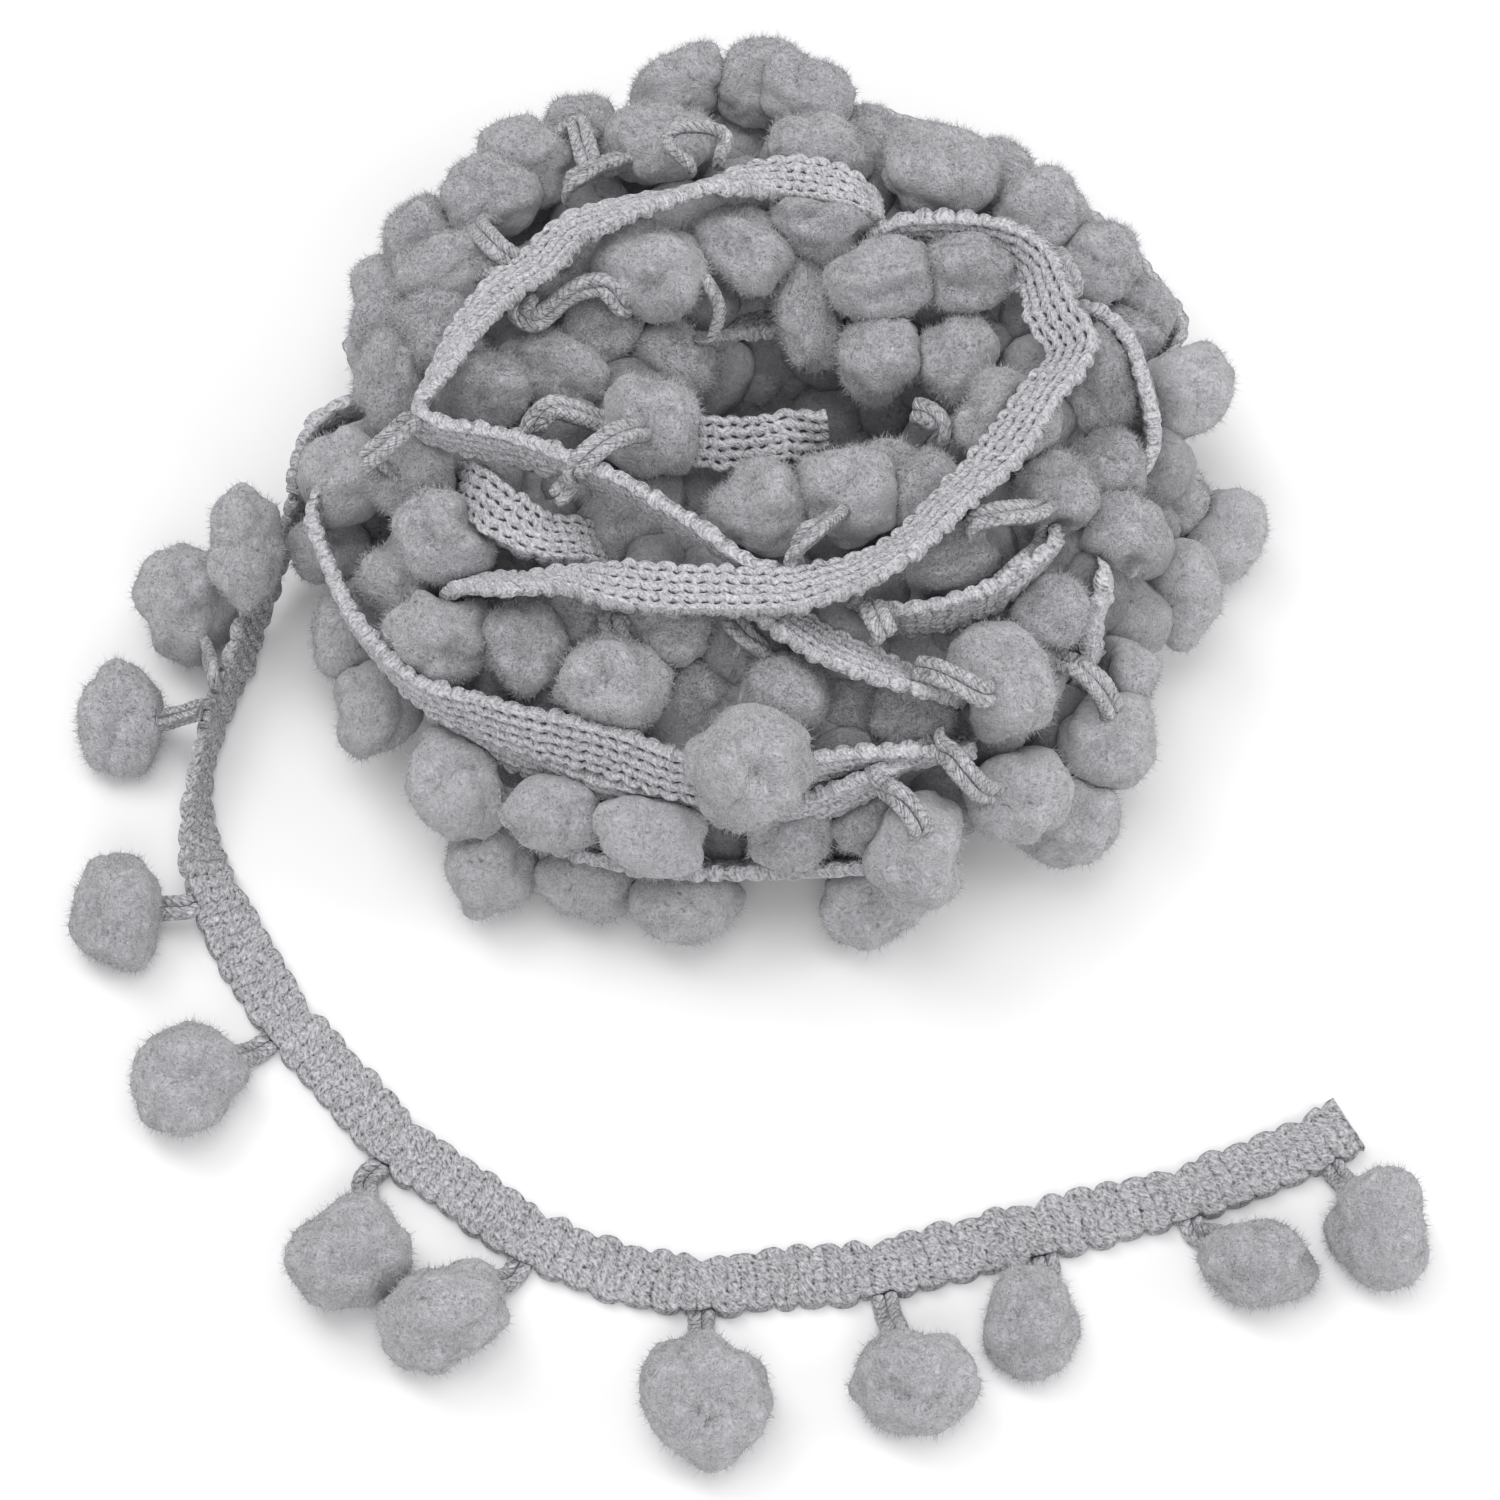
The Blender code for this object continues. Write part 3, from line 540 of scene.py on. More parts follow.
def braid_finish(name):
    """Knitted braid: ropes of slanting stitches along its face, with a small hole at each corner of
    a stitch, and cross rows of knots on its back. Attribute stitch holds the row, the column and
    the side."""
    f = Finish(name)
    place = f.place()
    row, column, side = f.parts("stitch")
    wobble = (f.noise(place, 420, 2) - 0.5) * 0.4
    nearest_column = column + wobble * 0.3
    nearest_row = row + wobble
    pitch = BRAID_WIDTH / COLUMNS
    diagonal = 0.7
    speckle = crinkle_and_glints(
        f, place, (nearest_row * ROW + nearest_column * pitch) * diagonal,
        (nearest_row * ROW - nearest_column * pitch) * diagonal,
    )
    patches = f.noise(place, 220, 2) - 0.5
    by_column = abs((nearest_column + 0.5).fraction() - 0.5)
    by_row = abs((nearest_row + 0.5).fraction() - 0.5)
    inside = column.step(0.3, 0.7) * (1 - column.step(COLUMNS - 0.7, COLUMNS - 0.3))

    # face: slanting stitches, with painted shade in a hole at each corner, in the grooves between
    # the ropes and along the seams between stitches
    spot = (by_column * by_column * 40 + by_row * by_row * 16) ** 0.5
    hole = (1 - spot.step(0.4, 1.3)) * inside
    slant = nearest_row - nearest_column.fraction()
    ply = (slant * math.tau * 4).sin()
    seam = 1 - abs((slant + 0.5).fraction() - 0.5).step(0.0, 0.17)
    valley = (1 - by_column.step(0.0, 0.17)) * (1 - by_row.step(0.1, 0.42) * 0.75) * inside

    # back: rows of knots, with painted shade in the grooves between them
    line = 1 - by_row.step(0.0, 0.13)
    between = (1 - by_column.step(0.0, 0.16)) * inside

    facing = side.step(0.45, 0.55)
    face_tone = ply * 0.05 - hole * 0.5 - valley * 0.5 - seam * 0.06
    back_tone = line * -0.18 - between * line * 0.22 - between * 0.08
    relief = face_tone * facing + back_tone * (1 - facing)
    tone = 0.62 + facing * 0.14 + speckle * 0.55 + patches * 0.2 + relief
    f.set(
        Base_Color=f.tint(tone, grey(0.06), grey(0.74)),
        Roughness=0.85,
        Sheen_Weight=0.15, Sheen_Roughness=0.5,
        Specular_IOR_Level=0.25,
    )
    f.set(Normal=f.bump(relief * 0.5 + speckle * 0.5, 0.6 * MM, 0.9))
    return f.material


def cord_finish(name):
    """Knitted strands of a cord: short slanting stitches."""
    f = Finish(name)
    place = f.place()
    row, around, strand = f.parts("stitch")
    wobble = (f.noise(place, 600, 2) - 0.5) * 0.5
    turned = around * 2 + strand * 0.5
    slant = row + wobble - abs(turned.fraction() - 0.5) * 2
    speckle = crinkle_and_glints(f, place, slant * 0.3, around * math.pi * CORD_THICKNESS + row * 0.9)
    seam = 1 - abs((slant + 0.5).fraction() - 0.5).step(0.0, 0.2)
    # painted shade along the seams between the stitches
    tone = 0.62 + speckle * 0.55 - seam * 0.2
    f.set(
        Base_Color=f.tint(tone, grey(0.06), grey(0.7)),
        Roughness=0.9,
        Sheen_Weight=0.2, Sheen_Roughness=0.5,
        Specular_IOR_Level=0.2,
    )
    f.set(Normal=f.bump(seam * -0.4 + speckle * 0.5, 0.5 * MM, 0.9))
    return f.material


def fuzz_finish(name, light, dark):
    """Loose fibres of the wool. The first number of attribute fibre is each one's own shade."""
    f = Finish(name)
    shade = f.parts("fibre")[0]
    f.set(
        Base_Color=f.tint(shade, grey(dark), grey(light)),
        Roughness=0.9,
        Sheen_Weight=0.2,
        Specular_IOR_Level=0.1,
    )
    return f.material


def table_finish(name):
    f = Finish(name)
    tone = f.noise(f.place(), 6, 2)
    colour = f.tint(tone, (0.90, 0.90, 0.905, 1), (0.92, 0.92, 0.925, 1))
    f.set(Base_Color=colour, Roughness=0.8, Specular_IOR_Level=0.1)
    return f.material


# ---------------------------------------------------------------- arrays

def unit(vectors):
    return vectors / np.maximum(np.linalg.norm(vectors, axis=-1, keepdims=True), 1e-12)


def wander(rng, distances, spacing):
    """A smooth random curve between -1 and 1 over the distances."""
    count = int(np.max(distances) / spacing) + 4
    knots = rng.uniform(-1, 1, count)
    place = np.asarray(distances) / spacing + 1
    low = np.clip(place.astype(int), 0, count - 2)
    share = place - low
    share = share * share * (3 - 2 * share)
    return knots[low] * (1 - share) + knots[low + 1] * share


def add_object(name, data):
    made = bpy.data.objects.new(name, data)
    bpy.context.scene.collection.objects.link(made)
    return made


def make_piece(name, points, faces, material, slot, shade=True, **attributes):
    """Makes a piece of arrays: points in millimetres, none of which may be under the table, and a
    list of arrays of faces. Each attribute gives three numbers for each point."""
    points = np.array(points, np.float32)
    points[:, 2] = np.maximum(points[:, 2], CLEARANCE)
    mesh = bpy.data.meshes.new(name)
    corners = np.concatenate([f.ravel() for f in faces]).astype(np.int32)
    counts = np.concatenate([np.full(len(f), f.shape[1]) for f in faces])
    starts = (np.cumsum(counts) - counts).astype(np.int32)
    mesh.vertices.add(len(points))
    mesh.vertices.foreach_set("co", (points * MM).ravel())
    mesh.loops.add(len(corners))
    mesh.loops.foreach_set("vertex_index", corners)
    mesh.polygons.add(len(starts))
    mesh.polygons.foreach_set("loop_start", starts)
    mesh.update(calc_edges=True)
    for label, values in attributes.items():
        made = mesh.attributes.new(label, "FLOAT_VECTOR", "POINT")
        made.data.foreach_set("vector", np.asarray(values, np.float32).ravel())
    if shade:
        mesh.shade_smooth()
    mesh.materials.append(material)
    piece = add_object(name, mesh)
    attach(piece, "root")
    return piece


class Heap:
    """Gathers the points, faces and attributes of many small things for one piece."""

    def __init__(self):
        self.points, self.faces, self.values = [], {}, {}
        self.count = 0

    def add(self, points, faces, **values):
        self.points.append(points)
        for found in faces:
            self.faces.setdefault(found.shape[1], []).append(found + self.count)
        for label, rows in values.items():
            self.values.setdefault(label, []).append(rows)
        self.count += len(points)

    def piece(self, name, material, slot, shade=True):
        faces = [np.concatenate(found) for found in self.faces.values()]
        values = {label: np.concatenate(rows) for label, rows in self.values.items()}
        return make_piece(name, np.concatenate(self.points), faces, material, slot, shade, **values)


# ---------------------------------------------------------------- routes

def with_leans(points):
    """The points of a cord, with no lean where none is given."""
    return [(*p[:3], p[3] if len(p) > 3 else 0) for p in points]


def smooth_route(points, step):
    """Even places along a smooth curve through the points: arrays of places, of leans and of
    distances along the curve."""
    table = np.array(points, float)
    places, leans = table[:, :3], table[:, 3]
    fine, fine_leans = [], []
    for i in range(len(places) - 1):
        before = places[max(i - 1, 0)]
        after = places[min(i + 2, len(places) - 1)]
        a, d = places[i], places[i + 1]
        b = a + (d - before) / 6
        c = d - (after - a) / 6
        t = np.linspace(0, 1, ROUTE_STEPS, endpoint=i == len(places) - 2)[:, None]
        back = 1 - t
        fine.append(a * back ** 3 + 3 * b * t * back ** 2 + 3 * c * t * t * back + d * t ** 3)
        fine_leans.append(leans[i] + (leans[i + 1] - leans[i]) * t[:, 0])
    fine, fine_leans = np.concatenate(fine), np.concatenate(fine_leans)
    passed = np.concatenate([[0], np.cumsum(np.linalg.norm(np.diff(fine, axis=0), axis=1))])
    along = np.linspace(0, passed[-1], max(2, round(passed[-1] / step) + 1))
    route = np.stack([np.interp(along, passed, fine[:, k]) for k in range(3)], axis=1)
    return route, np.interp(along, passed, fine_leans), along


def out_of_ring(places):
    """Directions from the middle line of the winding to these places."""
    middle = unit(places * (1, 1, 0)) * RING_RADIUS
    middle[:, 2] = RING_HEIGHT
    return unit(places - middle)


def steady(direction):
    """A facing that is the same everywhere."""
    return lambda places: np.tile(direction, (len(places), 1))


upward = steady((0.0, 0.0, 1.0))


def smoothed(values, reach):
    """A running mean over reach places on each side."""
    if reach < 1:
        return values
    padded = np.pad(values, ((reach, reach), (0, 0)), mode="edge")
    window = np.ones(2 * reach + 1) / (2 * reach + 1)
    return np.stack([np.convolve(padded[:, k], window, "valid") for k in range(values.shape[1])], 1)


def frames(route, leans, facing, reach=0):
    """Along, across and out of the face, at each place of the route. reach is over how many places
    the facing is evened out."""
    along = unit(np.gradient(route, axis=0))
    out = facing(route)
    out = unit(out - along * (out * along).sum(1, keepdims=True))
    angle = np.radians(leans)[:, None]
    out = out * np.cos(angle) + np.cross(along, out) * np.sin(angle)
    out = smoothed(out, reach)
    out = unit(out - along * (out * along).sum(1, keepdims=True))
    return along, np.cross(along, out), out


def tube_faces(count, around):
    """Four-sided faces between count rings of so many points."""
    base = np.arange(count - 1)[:, None] * around
    k = np.arange(around)[None, :]
    near, far = base + k, base + (k + 1) % around
    return np.stack([near, far, far + around, near + around], -1).reshape(-1, 4)


# ---------------------------------------------------------------- braid

def rounded(share):
    """A round ridge over a share from 0 to 1."""
    return np.sqrt(np.maximum(0, 1 - (2 * (share % 1) - 1) ** 2 * 0.9))


def uneven(rng, rows, columns, least):
    """A height of its own for each stitch, from least to 1."""
    row, column = np.floor(rows).astype(int), np.floor(columns).astype(int)
    first = row.min()
    table = rng.uniform(least, 1, (row.max() - first + 1, COLUMNS + 1))
    return table[row - first, np.minimum(column, COLUMNS)]


def chain_relief(rng, rows, columns):
    """Height of the knitted face, from 0 to 1: a rope of slanting stitches along each column."""
    slant = rows - columns % 1
    to_column, to_row = columns - np.round(columns), rows - np.round(rows)
    rope = 1 - (1 - rounded(columns) ** 1.7) * (0.5 + 0.5 * np.exp(-((to_row / 0.33) ** 2)))
    stitch = np.abs(np.sin(np.pi * slant)) ** 0.5
    hole = np.exp(-((to_column / 0.2) ** 2) - (to_row / 0.26) ** 2)
    hole *= (columns > 0.5) & (columns < COLUMNS - 0.5)
    return rope * (0.88 + 0.12 * stitch) * uneven(rng, slant, columns, 0.75) - 0.6 * hole


def knot_relief(rng, rows, columns):
    """Height of the back, from 0 to 1: cross rows of round knots."""
    knots = rounded(rows) ** 0.8 * (0.6 + 0.4 * rounded(columns + 0.5 * (np.floor(rows) % 2)))
    return knots * uneven(rng, rows, columns, 0.65)


def make_braid(
    name, points, facing, thickness, knots_up, seed, stations, material, step=0.5, cells=4,
):
    """A length of braid along the points. stations are the distances at which a cord crosses it,
    and cells are the faces across each column of stitches."""
    lump_rows, scallop = LOOSE_LUMPS if knots_up else WOUND_LUMPS
    rng = np.random.default_rng(seed)
    route, leans, passed = smooth_route(points, step)
    _along, side, out = frames(route, leans, facing, int(2 / step))
    for depth, from_end in zip(END_DEPTHS.get(name, (0, 0)), (passed, passed[-1] - passed)):
        sunk = depth * np.maximum(0, 1 - from_end / END_LENGTH) ** 2
        route = route - facing(route) * sunk[:, None]
    wave = wander(rng, passed, 9) * 0.3
    width = BRAID_WIDTH * (1 + 0.03 * wander(rng, passed, 12)) - EDGE_ROOM
    slip = wander(rng, passed, 6) * 0.15

    cross = np.zeros(len(passed))
    for station in stations:
        cross = np.maximum(cross, np.exp(-(((passed - station) / CROSSING) ** 4)))

    count = COLUMNS * cells
    v = np.linspace(0, 1, count + 1)
    rows = (passed / ROW + slip)[:, None]
    columns = (v * COLUMNS)[None, :] + 0 * rows
    rows = rows + 0.1 * np.sin(columns * 2.1 + seed) + 0.07 * np.sin(columns * 0.9 + rows * 0.8)
    profile = (1 - np.abs(2 * v - 1) ** 5) ** (1 / 3)

    def edge_lumps(shift):
        span = rows[:, 0] / lump_rows + shift
        sizes = rng.uniform(0.6, 1.15, int(span.max()) + 2)
        return np.abs(np.sin(np.pi * span)) ** 0.42 * sizes[np.floor(span).astype(int)]

    near_lumps, far_lumps = edge_lumps(0), edge_lumps(0.4)
    near, far = (
        width / 2 + scallop * edge - pull * cross
        for edge, pull in zip((near_lumps, far_lumps), CROSSING_PULLS)
    )
    reach = -far[:, None] * (1 - v) + near[:, None] * v
    reach[:, 0] += EDGE_GROOVE
    reach[:, -1] -= EDGE_GROOVE
    bead = (
        np.exp(-(((v - 0.04) / 0.1) ** 2))[None, :] * (far_lumps[:, None] - 0.55)
        + np.exp(-(((v - 0.96) / 0.1) ** 2))[None, :] * (near_lumps[:, None] - 0.55)
    )

    faces_height = chain_relief(rng, rows, columns)
    backs_height = knot_relief(rng, rows, columns)
    ribs = np.zeros_like(rows + columns)
    for station in stations:
        ribs = np.maximum(ribs, rounded(((passed - station) / 2.2)[:, None] + 0 * columns))
    cross = cross[:, None]
    faces_height = faces_height * (1 - cross) + ribs * cross * 1.15
    backs_height = backs_height * (1 - cross) + ribs * cross * 1.15
    up, down = (backs_height, faces_height) if knots_up else (faces_height, backs_height)
    core = thickness / 2 - RELIEF_ROOM
    top = (core + UPPER_RELIEF * up + EDGE_BEAD * bead) * profile[None, :] + wave[:, None]
    low = (core + LOWER_RELIEF * down + EDGE_BEAD * bead) * profile[None, :] - wave[:, None]

    def skin(heights, sign):
        return (
            route[:, None, :] + side[:, None, :] * reach[:, :, None]
            + out[:, None, :] * (sign * heights)[:, :, None]
        )

    upper, lower = skin(top, 1), skin(low, -1)
    ring = np.concatenate([upper, lower[:, -2:0:-1]], axis=1)
    n, around = ring.shape[:2]

    # the two ends, as strips that join the upper edge to the lower one
    a = np.arange(count)
    b = (around - np.arange(count + 1)) % around
    cap = np.stack([a, b[:count], b[1:], a + 1], axis=-1)
    caps = np.concatenate([cap, cap[:, ::-1] + (n - 1) * around])
    keep = np.array([len(set(row)) == 4 for row in caps.tolist()])
    whole = caps[keep]
    thirds = np.array([list(dict.fromkeys(row)) for row in caps[~keep].tolist()])
    faces = [f for f in (tube_faces(n, around), whole, thirds) if len(f)]

    stitch = np.zeros((n, around, 3))
    for k, values in enumerate((rows, columns)):
        stitch[:, :count + 1, k] = values
        stitch[:, count + 1:, k] = values[:, -2:0:-1]
    stitch[:, :count + 1, 2] = 0 if knots_up else 1
    stitch[:, count + 1:, 2] = 1 if knots_up else 0
    return make_piece(
        name, ring.reshape(-1, 3), faces, material, "braid", stitch=stitch.reshape(-1, 3),
    )


# ---------------------------------------------------------------- cords

def squared(waves):
    """Makes a round section a little square."""
    return np.sign(waves) * np.abs(waves) ** 0.75


def add_cord(
    heap, points, facing, seed, strands=(-1, 1), thickness=CORD_THICKNESS, sunk=0.0, step=0.4,
    sides=8,
):
    """The strands of a cord, side by side along the points. sunk is how deep its ends go down."""
    rng = np.random.default_rng(seed)
    route, leans, passed = smooth_route(with_leans(points), step)
    _along, side, out = frames(route, leans, facing)
    from_end = np.minimum(passed, passed[-1] - passed)
    sinking = sunk * np.maximum(0, 1 - from_end / SINKING) ** 1.5
    radius = thickness / 2
    angle = np.arange(sides) / sides * math.tau
    turned = np.abs(np.sin(angle))[None, :]
    for strand, way in enumerate(strands):
        slip = rng.uniform(0, 1)
        thick = radius * (1 + 0.08 * wander(rng, passed, 3))
        rows = passed / CORD_ROW + slip
        bulge = 0.9 + 0.14 * np.abs(np.sin(np.pi * (rows[:, None] + turned)))
        height = 0.15 * wander(rng, passed, 4) - sinking
        middle = route + side * (way * radius * 0.93) + out * height[:, None]
        ends = np.minimum(1, from_end / 0.6 + 0.5)
        size = (thick * ends)[:, None] * bulge
        ring = (
            middle[:, None, :]
            + side[:, None, :] * (squared(np.cos(angle))[None, :] * size)[:, :, None]
            + out[:, None, :] * (squared(np.sin(angle))[None, :] * size)[:, :, None]
        )
        n = len(passed)
        caps = np.stack([np.arange(sides)[::-1], np.arange(sides) + (n - 1) * sides])
        stitch = np.zeros((n, sides, 3))
        for k, values in enumerate((rows[:, None], angle / math.tau, strand)):
            stitch[:, :, k] = values
        heap.add(ring.reshape(-1, 3), [tube_faces(n, sides), caps], stitch=stitch.reshape(-1, 3))


# ---------------------------------------------------------------- pompoms

def ball_matrix(x, y, z, long, wide, slant):
    """Sets a unit ball to its size and place."""
    plane = Matrix.Rotation(math.radians(BALL_PLANE), 4, "X")
    turn = Matrix.Rotation(math.radians(slant), 4, "Z")
    size = Matrix.Diagonal((long / 2, wide / 2, wide * BALL_DEPTH / 2, 1))
    return np.array(Matrix.Translation((x, y, z)) @ plane @ turn @ size)


def lifted_ball_matrix(x, y, lift, long, wide, slant):
    """The same for a ball given by the height of its underside."""
    matrix = ball_matrix(x, y, 0, long, wide, slant)
    matrix[2, 3] = lift + np.linalg.norm(matrix[2, :3])
    return matrix


def unit_ball(cells):
    """Directions and four-sided faces of a ball, from a cube with that many cells on an edge."""
    line = np.tan(np.linspace(-1, 1, cells + 1) * math.pi / 4)
    u, v = np.meshgrid(line, line, indexing="ij")
    one = np.ones_like(u)
    sheets = []
    for axis in range(3):
        for way in (1, -1):
            sheet = [None] * 3
            sheet[axis] = one * way
            sheet[(axis + 1) % 3] = u
            sheet[(axis + 2) % 3] = v * way
            sheets.append(np.stack(sheet, -1).reshape(-1, 3))
    points = unit(np.concatenate(sheets))
    corner = np.arange(cells)
    i, j = (k.ravel() for k in np.meshgrid(corner, corner, indexing="ij"))
    n = cells + 1
    face = np.stack([i * n + j, (i + 1) * n + j, (i + 1) * n + j + 1, i * n + j + 1], 1)
    faces = np.concatenate([face + k * n * n for k in range(6)])
    rough = np.round(points, 6)
    _, first, same = np.unique(rough, axis=0, return_index=True, return_inverse=True)
    return points[first], same.reshape(-1)[faces]


UNIT_BALLS = {kind: unit_ball(cells) for kind, cells in BALL_CELLS.items()}


def lumps(rng, directions, pitch, count):
    """Smooth bumps over the ball, about -1 to 1."""
    total = np.zeros(len(directions))
    for _ in range(count):
        wave = unit(rng.normal(size=3)) * pitch * rng.uniform(0.7, 1.3)
        total += np.sin(directions @ wave + rng.uniform(0, math.tau))
    return total / math.sqrt(count)


def tufts(rng, directions, count, height):
    """Round tufts of wool side by side, with soft valleys between them."""
    middles = unit(rng.normal(size=(count, 3)))
    heights = rng.uniform(0.3, 1, count) * height
    apart = np.arccos(np.clip(directions @ middles.T, -1, 1))
    spread = 2.6 / math.sqrt(count)
    domes = heights * (1 - (apart / spread) ** 2)
    sharp = 9 / height
    return np.log(np.exp(domes.clip(-height) * sharp).sum(1)) / sharp


def shape_ball(rng, directions, creases):
    """How far the wool reaches in each direction, as a share of the ball, and the marks of its
    creases: the distance from each and how open it is. A crease is its turn, its offset, its depth,
    how long it is and its bend, as seen from above the front."""
    reach = 1 + 0.045 * lumps(rng, directions, 2.2, 5) + 0.03 * lumps(rng, directions, 4.5, 8)
    reach += 0.012 * lumps(rng, directions, 10, 12)
    for _ in range(2):
        flat = unit(rng.normal(size=3))
        slope = np.maximum(directions @ flat, 0.05)
        limit = rng.uniform(0.84, 0.97) / slope
        reach = -FLAT_EDGE * np.log(np.exp(-reach / FLAT_EDGE) + np.exp(-limit / FLAT_EDGE))
    large, middling, small = (tufts(rng, directions, *row) for row in TUFTS)
    reach += large + middling
    reach += small
    reach *= 1.03 / np.mean(reach)
    reach += rng.normal(0, 0.012, len(reach))
    marks = []
    for turn, offset, depth, length, bend in creases:
        turn = math.radians(turn)
        across = np.array([-math.sin(turn), math.cos(turn), 0])
        ahead = np.array([math.cos(turn), math.sin(turn), 0])
        run = directions @ ahead
        wandering = 0.08 * lumps(rng, directions, 4, 3) + 0.05 * lumps(rng, directions, 9, 4)
        distance = directions @ across - offset + bend * run ** 2 + wandering
        window = np.exp(-((run / length) ** 4)) * np.clip(directions[:, 2] * 3 + 0.6, 0, 1)
        reach -= depth * np.exp(-((distance / (0.12 + depth)) ** 2)) * window
        reach += 0.5 * depth * np.tanh(distance / 0.1) * window * np.exp(-np.abs(distance) / 0.5)
        marks.append((distance, window * min(1, depth / 0.07)))
    return reach, marks


def some_creases(rng):
    """One or two creases, as rows of turn, offset, depth, length and bend."""
    ranges = ((0, 180), (-0.5, 0.5), (0.07, 0.19), (0.4, 0.9), (-0.4, 0.4))
    return [[rng.uniform(*span) for span in ranges] for _ in range(rng.choice((1, 1, 2, 2)))]


class Ball:
    """A pompom, which what it touches presses flat. Its matrix sets a unit ball to its size and
    place, and keep is the share of its reach that the wool keeps in each direction."""

    BESIDE, OVER = 0.2, 0.15  # room between the wool and the braid's edge and face
    HELD = 1.2  # half length of braid that each place of its route presses with
    KEPT_BY_BALL, KEPT_BY_BRAID = 0.5, 0.55  # least share that is kept
    ROOT_DEPTH = 0.1  # how deep the loose fibres start in the wool

    def __init__(self, matrix, seed, kind, creases=None):
        self.middle = matrix[:3, 3]
        self.inverse = np.linalg.inv(matrix[:3, :3])
        self.rng = rng = np.random.default_rng(seed)
        self.kind = kind
        directions, self.faces = UNIT_BALLS[kind]
        if creases is None:
            creases = some_creases(rng)
        reach, self.marks = shape_ball(rng, directions, creases)
        self.arms = (directions * reach[:, None]) @ matrix[:3, :3].T
        self.size = np.linalg.norm(matrix[:3, :3], axis=0).max()
        self.keep = np.ones(len(self.arms))

    def level(self, places):
        """1 on the ball's round, less inside."""
        return np.linalg.norm((places - self.middle) @ self.inverse.T, axis=-1)

    def points(self):
        places = self.middle + self.arms * self.keep[:, None]
        places[:, 2] = np.maximum(places[:, 2], CLEARANCE)
        return places

    def press_ball(self, other):
        """Flattens the wool where it meets the other ball."""
        low, high = np.zeros(len(self.keep)), np.ones(len(self.keep))
        for _ in range(8):
            half = (low + high) / 2
            places = self.middle + self.arms * half[:, None]
            inside = self.level(places) > other.level(places)
            high = np.where(inside, half, high)
            low = np.where(inside, low, half)
        share = np.where(high < 0.999, high, 1)
        self.keep = np.minimum(self.keep, np.maximum(share, self.KEPT_BY_BALL))

    def press_braid(self, braid):
        """Flattens the wool under or over a length of braid."""
        route, along, side, out, half = braid
        near = np.linalg.norm(route - self.middle, axis=1) < self.size + BRAID_WIDTH / 2 + 1
        wide, thick = BRAID_WIDTH / 2 + self.BESIDE, half + self.OVER
        for c, ahead, across, up in zip(route[near], along[near], side[near], out[near]):
            arm = self.arms * self.keep[:, None]
            start = self.middle - c
            a0, b0 = start @ across, start @ up
            a, b, run = a0 + arm @ across, b0 + arm @ up, start @ ahead + arm @ ahead
            if abs(b0) < thick and abs(a0) < wide:
                continue
            held = (np.abs(run) < self.HELD) & (np.abs(a) < wide) & (b * np.sign(b0) < thick)
            if not held.any():
                continue
            with np.errstate(divide="ignore", invalid="ignore"):
                by_face = (np.sign(b0) * thick - b0) / (b - b0)
                by_edge = (np.sign(a0) * wide - a0) / (a - a0)
            by_face = np.where((by_face > 0) & (by_face < 1), by_face, 0)
            by_edge = np.where((by_edge > 0) & (by_edge < 1), by_edge, 0)
            share = np.maximum(np.maximum(by_face, by_edge), self.KEPT_BY_BRAID)
            self.keep = np.where(held, self.keep * share, self.keep)

    def soften(self, times):
        """Rounds the edges of the flats."""
        for _ in range(times):
            mean = self.keep[self.faces].mean(1)
            total, count = np.zeros(len(self.keep)), np.zeros(len(self.keep))
            for k in range(4):
                np.add.at(total, self.faces[:, k], mean)
                np.add.at(count, self.faces[:, k], 1)
            self.keep = total / count

    def add_to(self, heap):
        """Adds the wool, with its creases, the painted shade where it is pressed flat, and how dull
        it is.
        """
        nothing = np.zeros(len(self.keep))
        a, b = [*self.marks, (nothing, nothing)][:2]
        # painted shade where the wool is pressed flat against other balls and the braid
        contact_shade = np.clip((1 - self.keep) * 6, 0, 1)
        dull = np.full(len(contact_shade), self.rng.uniform(0, 0.5))
        heap.add(
            self.points(), [self.faces],
            crease_a=np.stack([*a, contact_shade], 1), crease_b=np.stack([*b, dull], 1),
        )

    def add_fuzz(self, heap, count, outward=None):
        """Loose fibres that lie over the wool and stand out of it. In the hank they are only on the
        side that faces outward."""
        rng = self.rng
        points = self.points()
        corners = points[self.faces]
        normals = np.cross(corners[:, 2] - corners[:, 0], corners[:, 3] - corners[:, 1])
        areas = np.linalg.norm(normals, axis=1) * (self.keep[self.faces].min(1) > 0.93)
        areas *= corners[:, :, 2].min(1) > 0.3
        if outward is not None:
            areas *= np.clip(unit(normals) @ outward + 0.35, 0, 0.6)
        if not areas.any():
            return
        chosen = rng.choice(len(areas), count, p=areas / areas.sum())
        u, v = rng.uniform(0, 1, (2, count, 1))
        found = corners[chosen]
        low = found[:, 0] * (1 - u) + found[:, 1] * u
        high = found[:, 3] * (1 - u) + found[:, 2] * u
        root = low * (1 - v) + high * v
        normal = unit(normals[chosen])
        lean = unit(np.cross(normal, rng.normal(size=(count, 3))))
        ahead = unit(normal + lean * rng.uniform(*FUZZ_LEANS, (count, 1)))
        length = rng.uniform(*FUZZ_LENGTHS, count)
        width = rng.uniform(*FUZZ_RADII, count)[:, None]
        sideways = np.cross(normal, lean)
        base = [
            root - normal * self.ROOT_DEPTH + (lean * math.cos(t) + sideways * math.sin(t)) * width
            for t in (0, math.tau / 3, 2 * math.tau / 3)
        ]
        places = np.stack([*base, root + ahead * length[:, None]], axis=1).reshape(-1, 3)
        start = np.arange(count)[:, None] * 4
        sides = ((0, 1, 3), (1, 2, 3), (2, 0, 3), (0, 2, 1))
        faces = np.concatenate([start + np.array(side) for side in sides])
        fibre = np.repeat(rng.uniform(0, 1, (count, 3)), 4, axis=0)
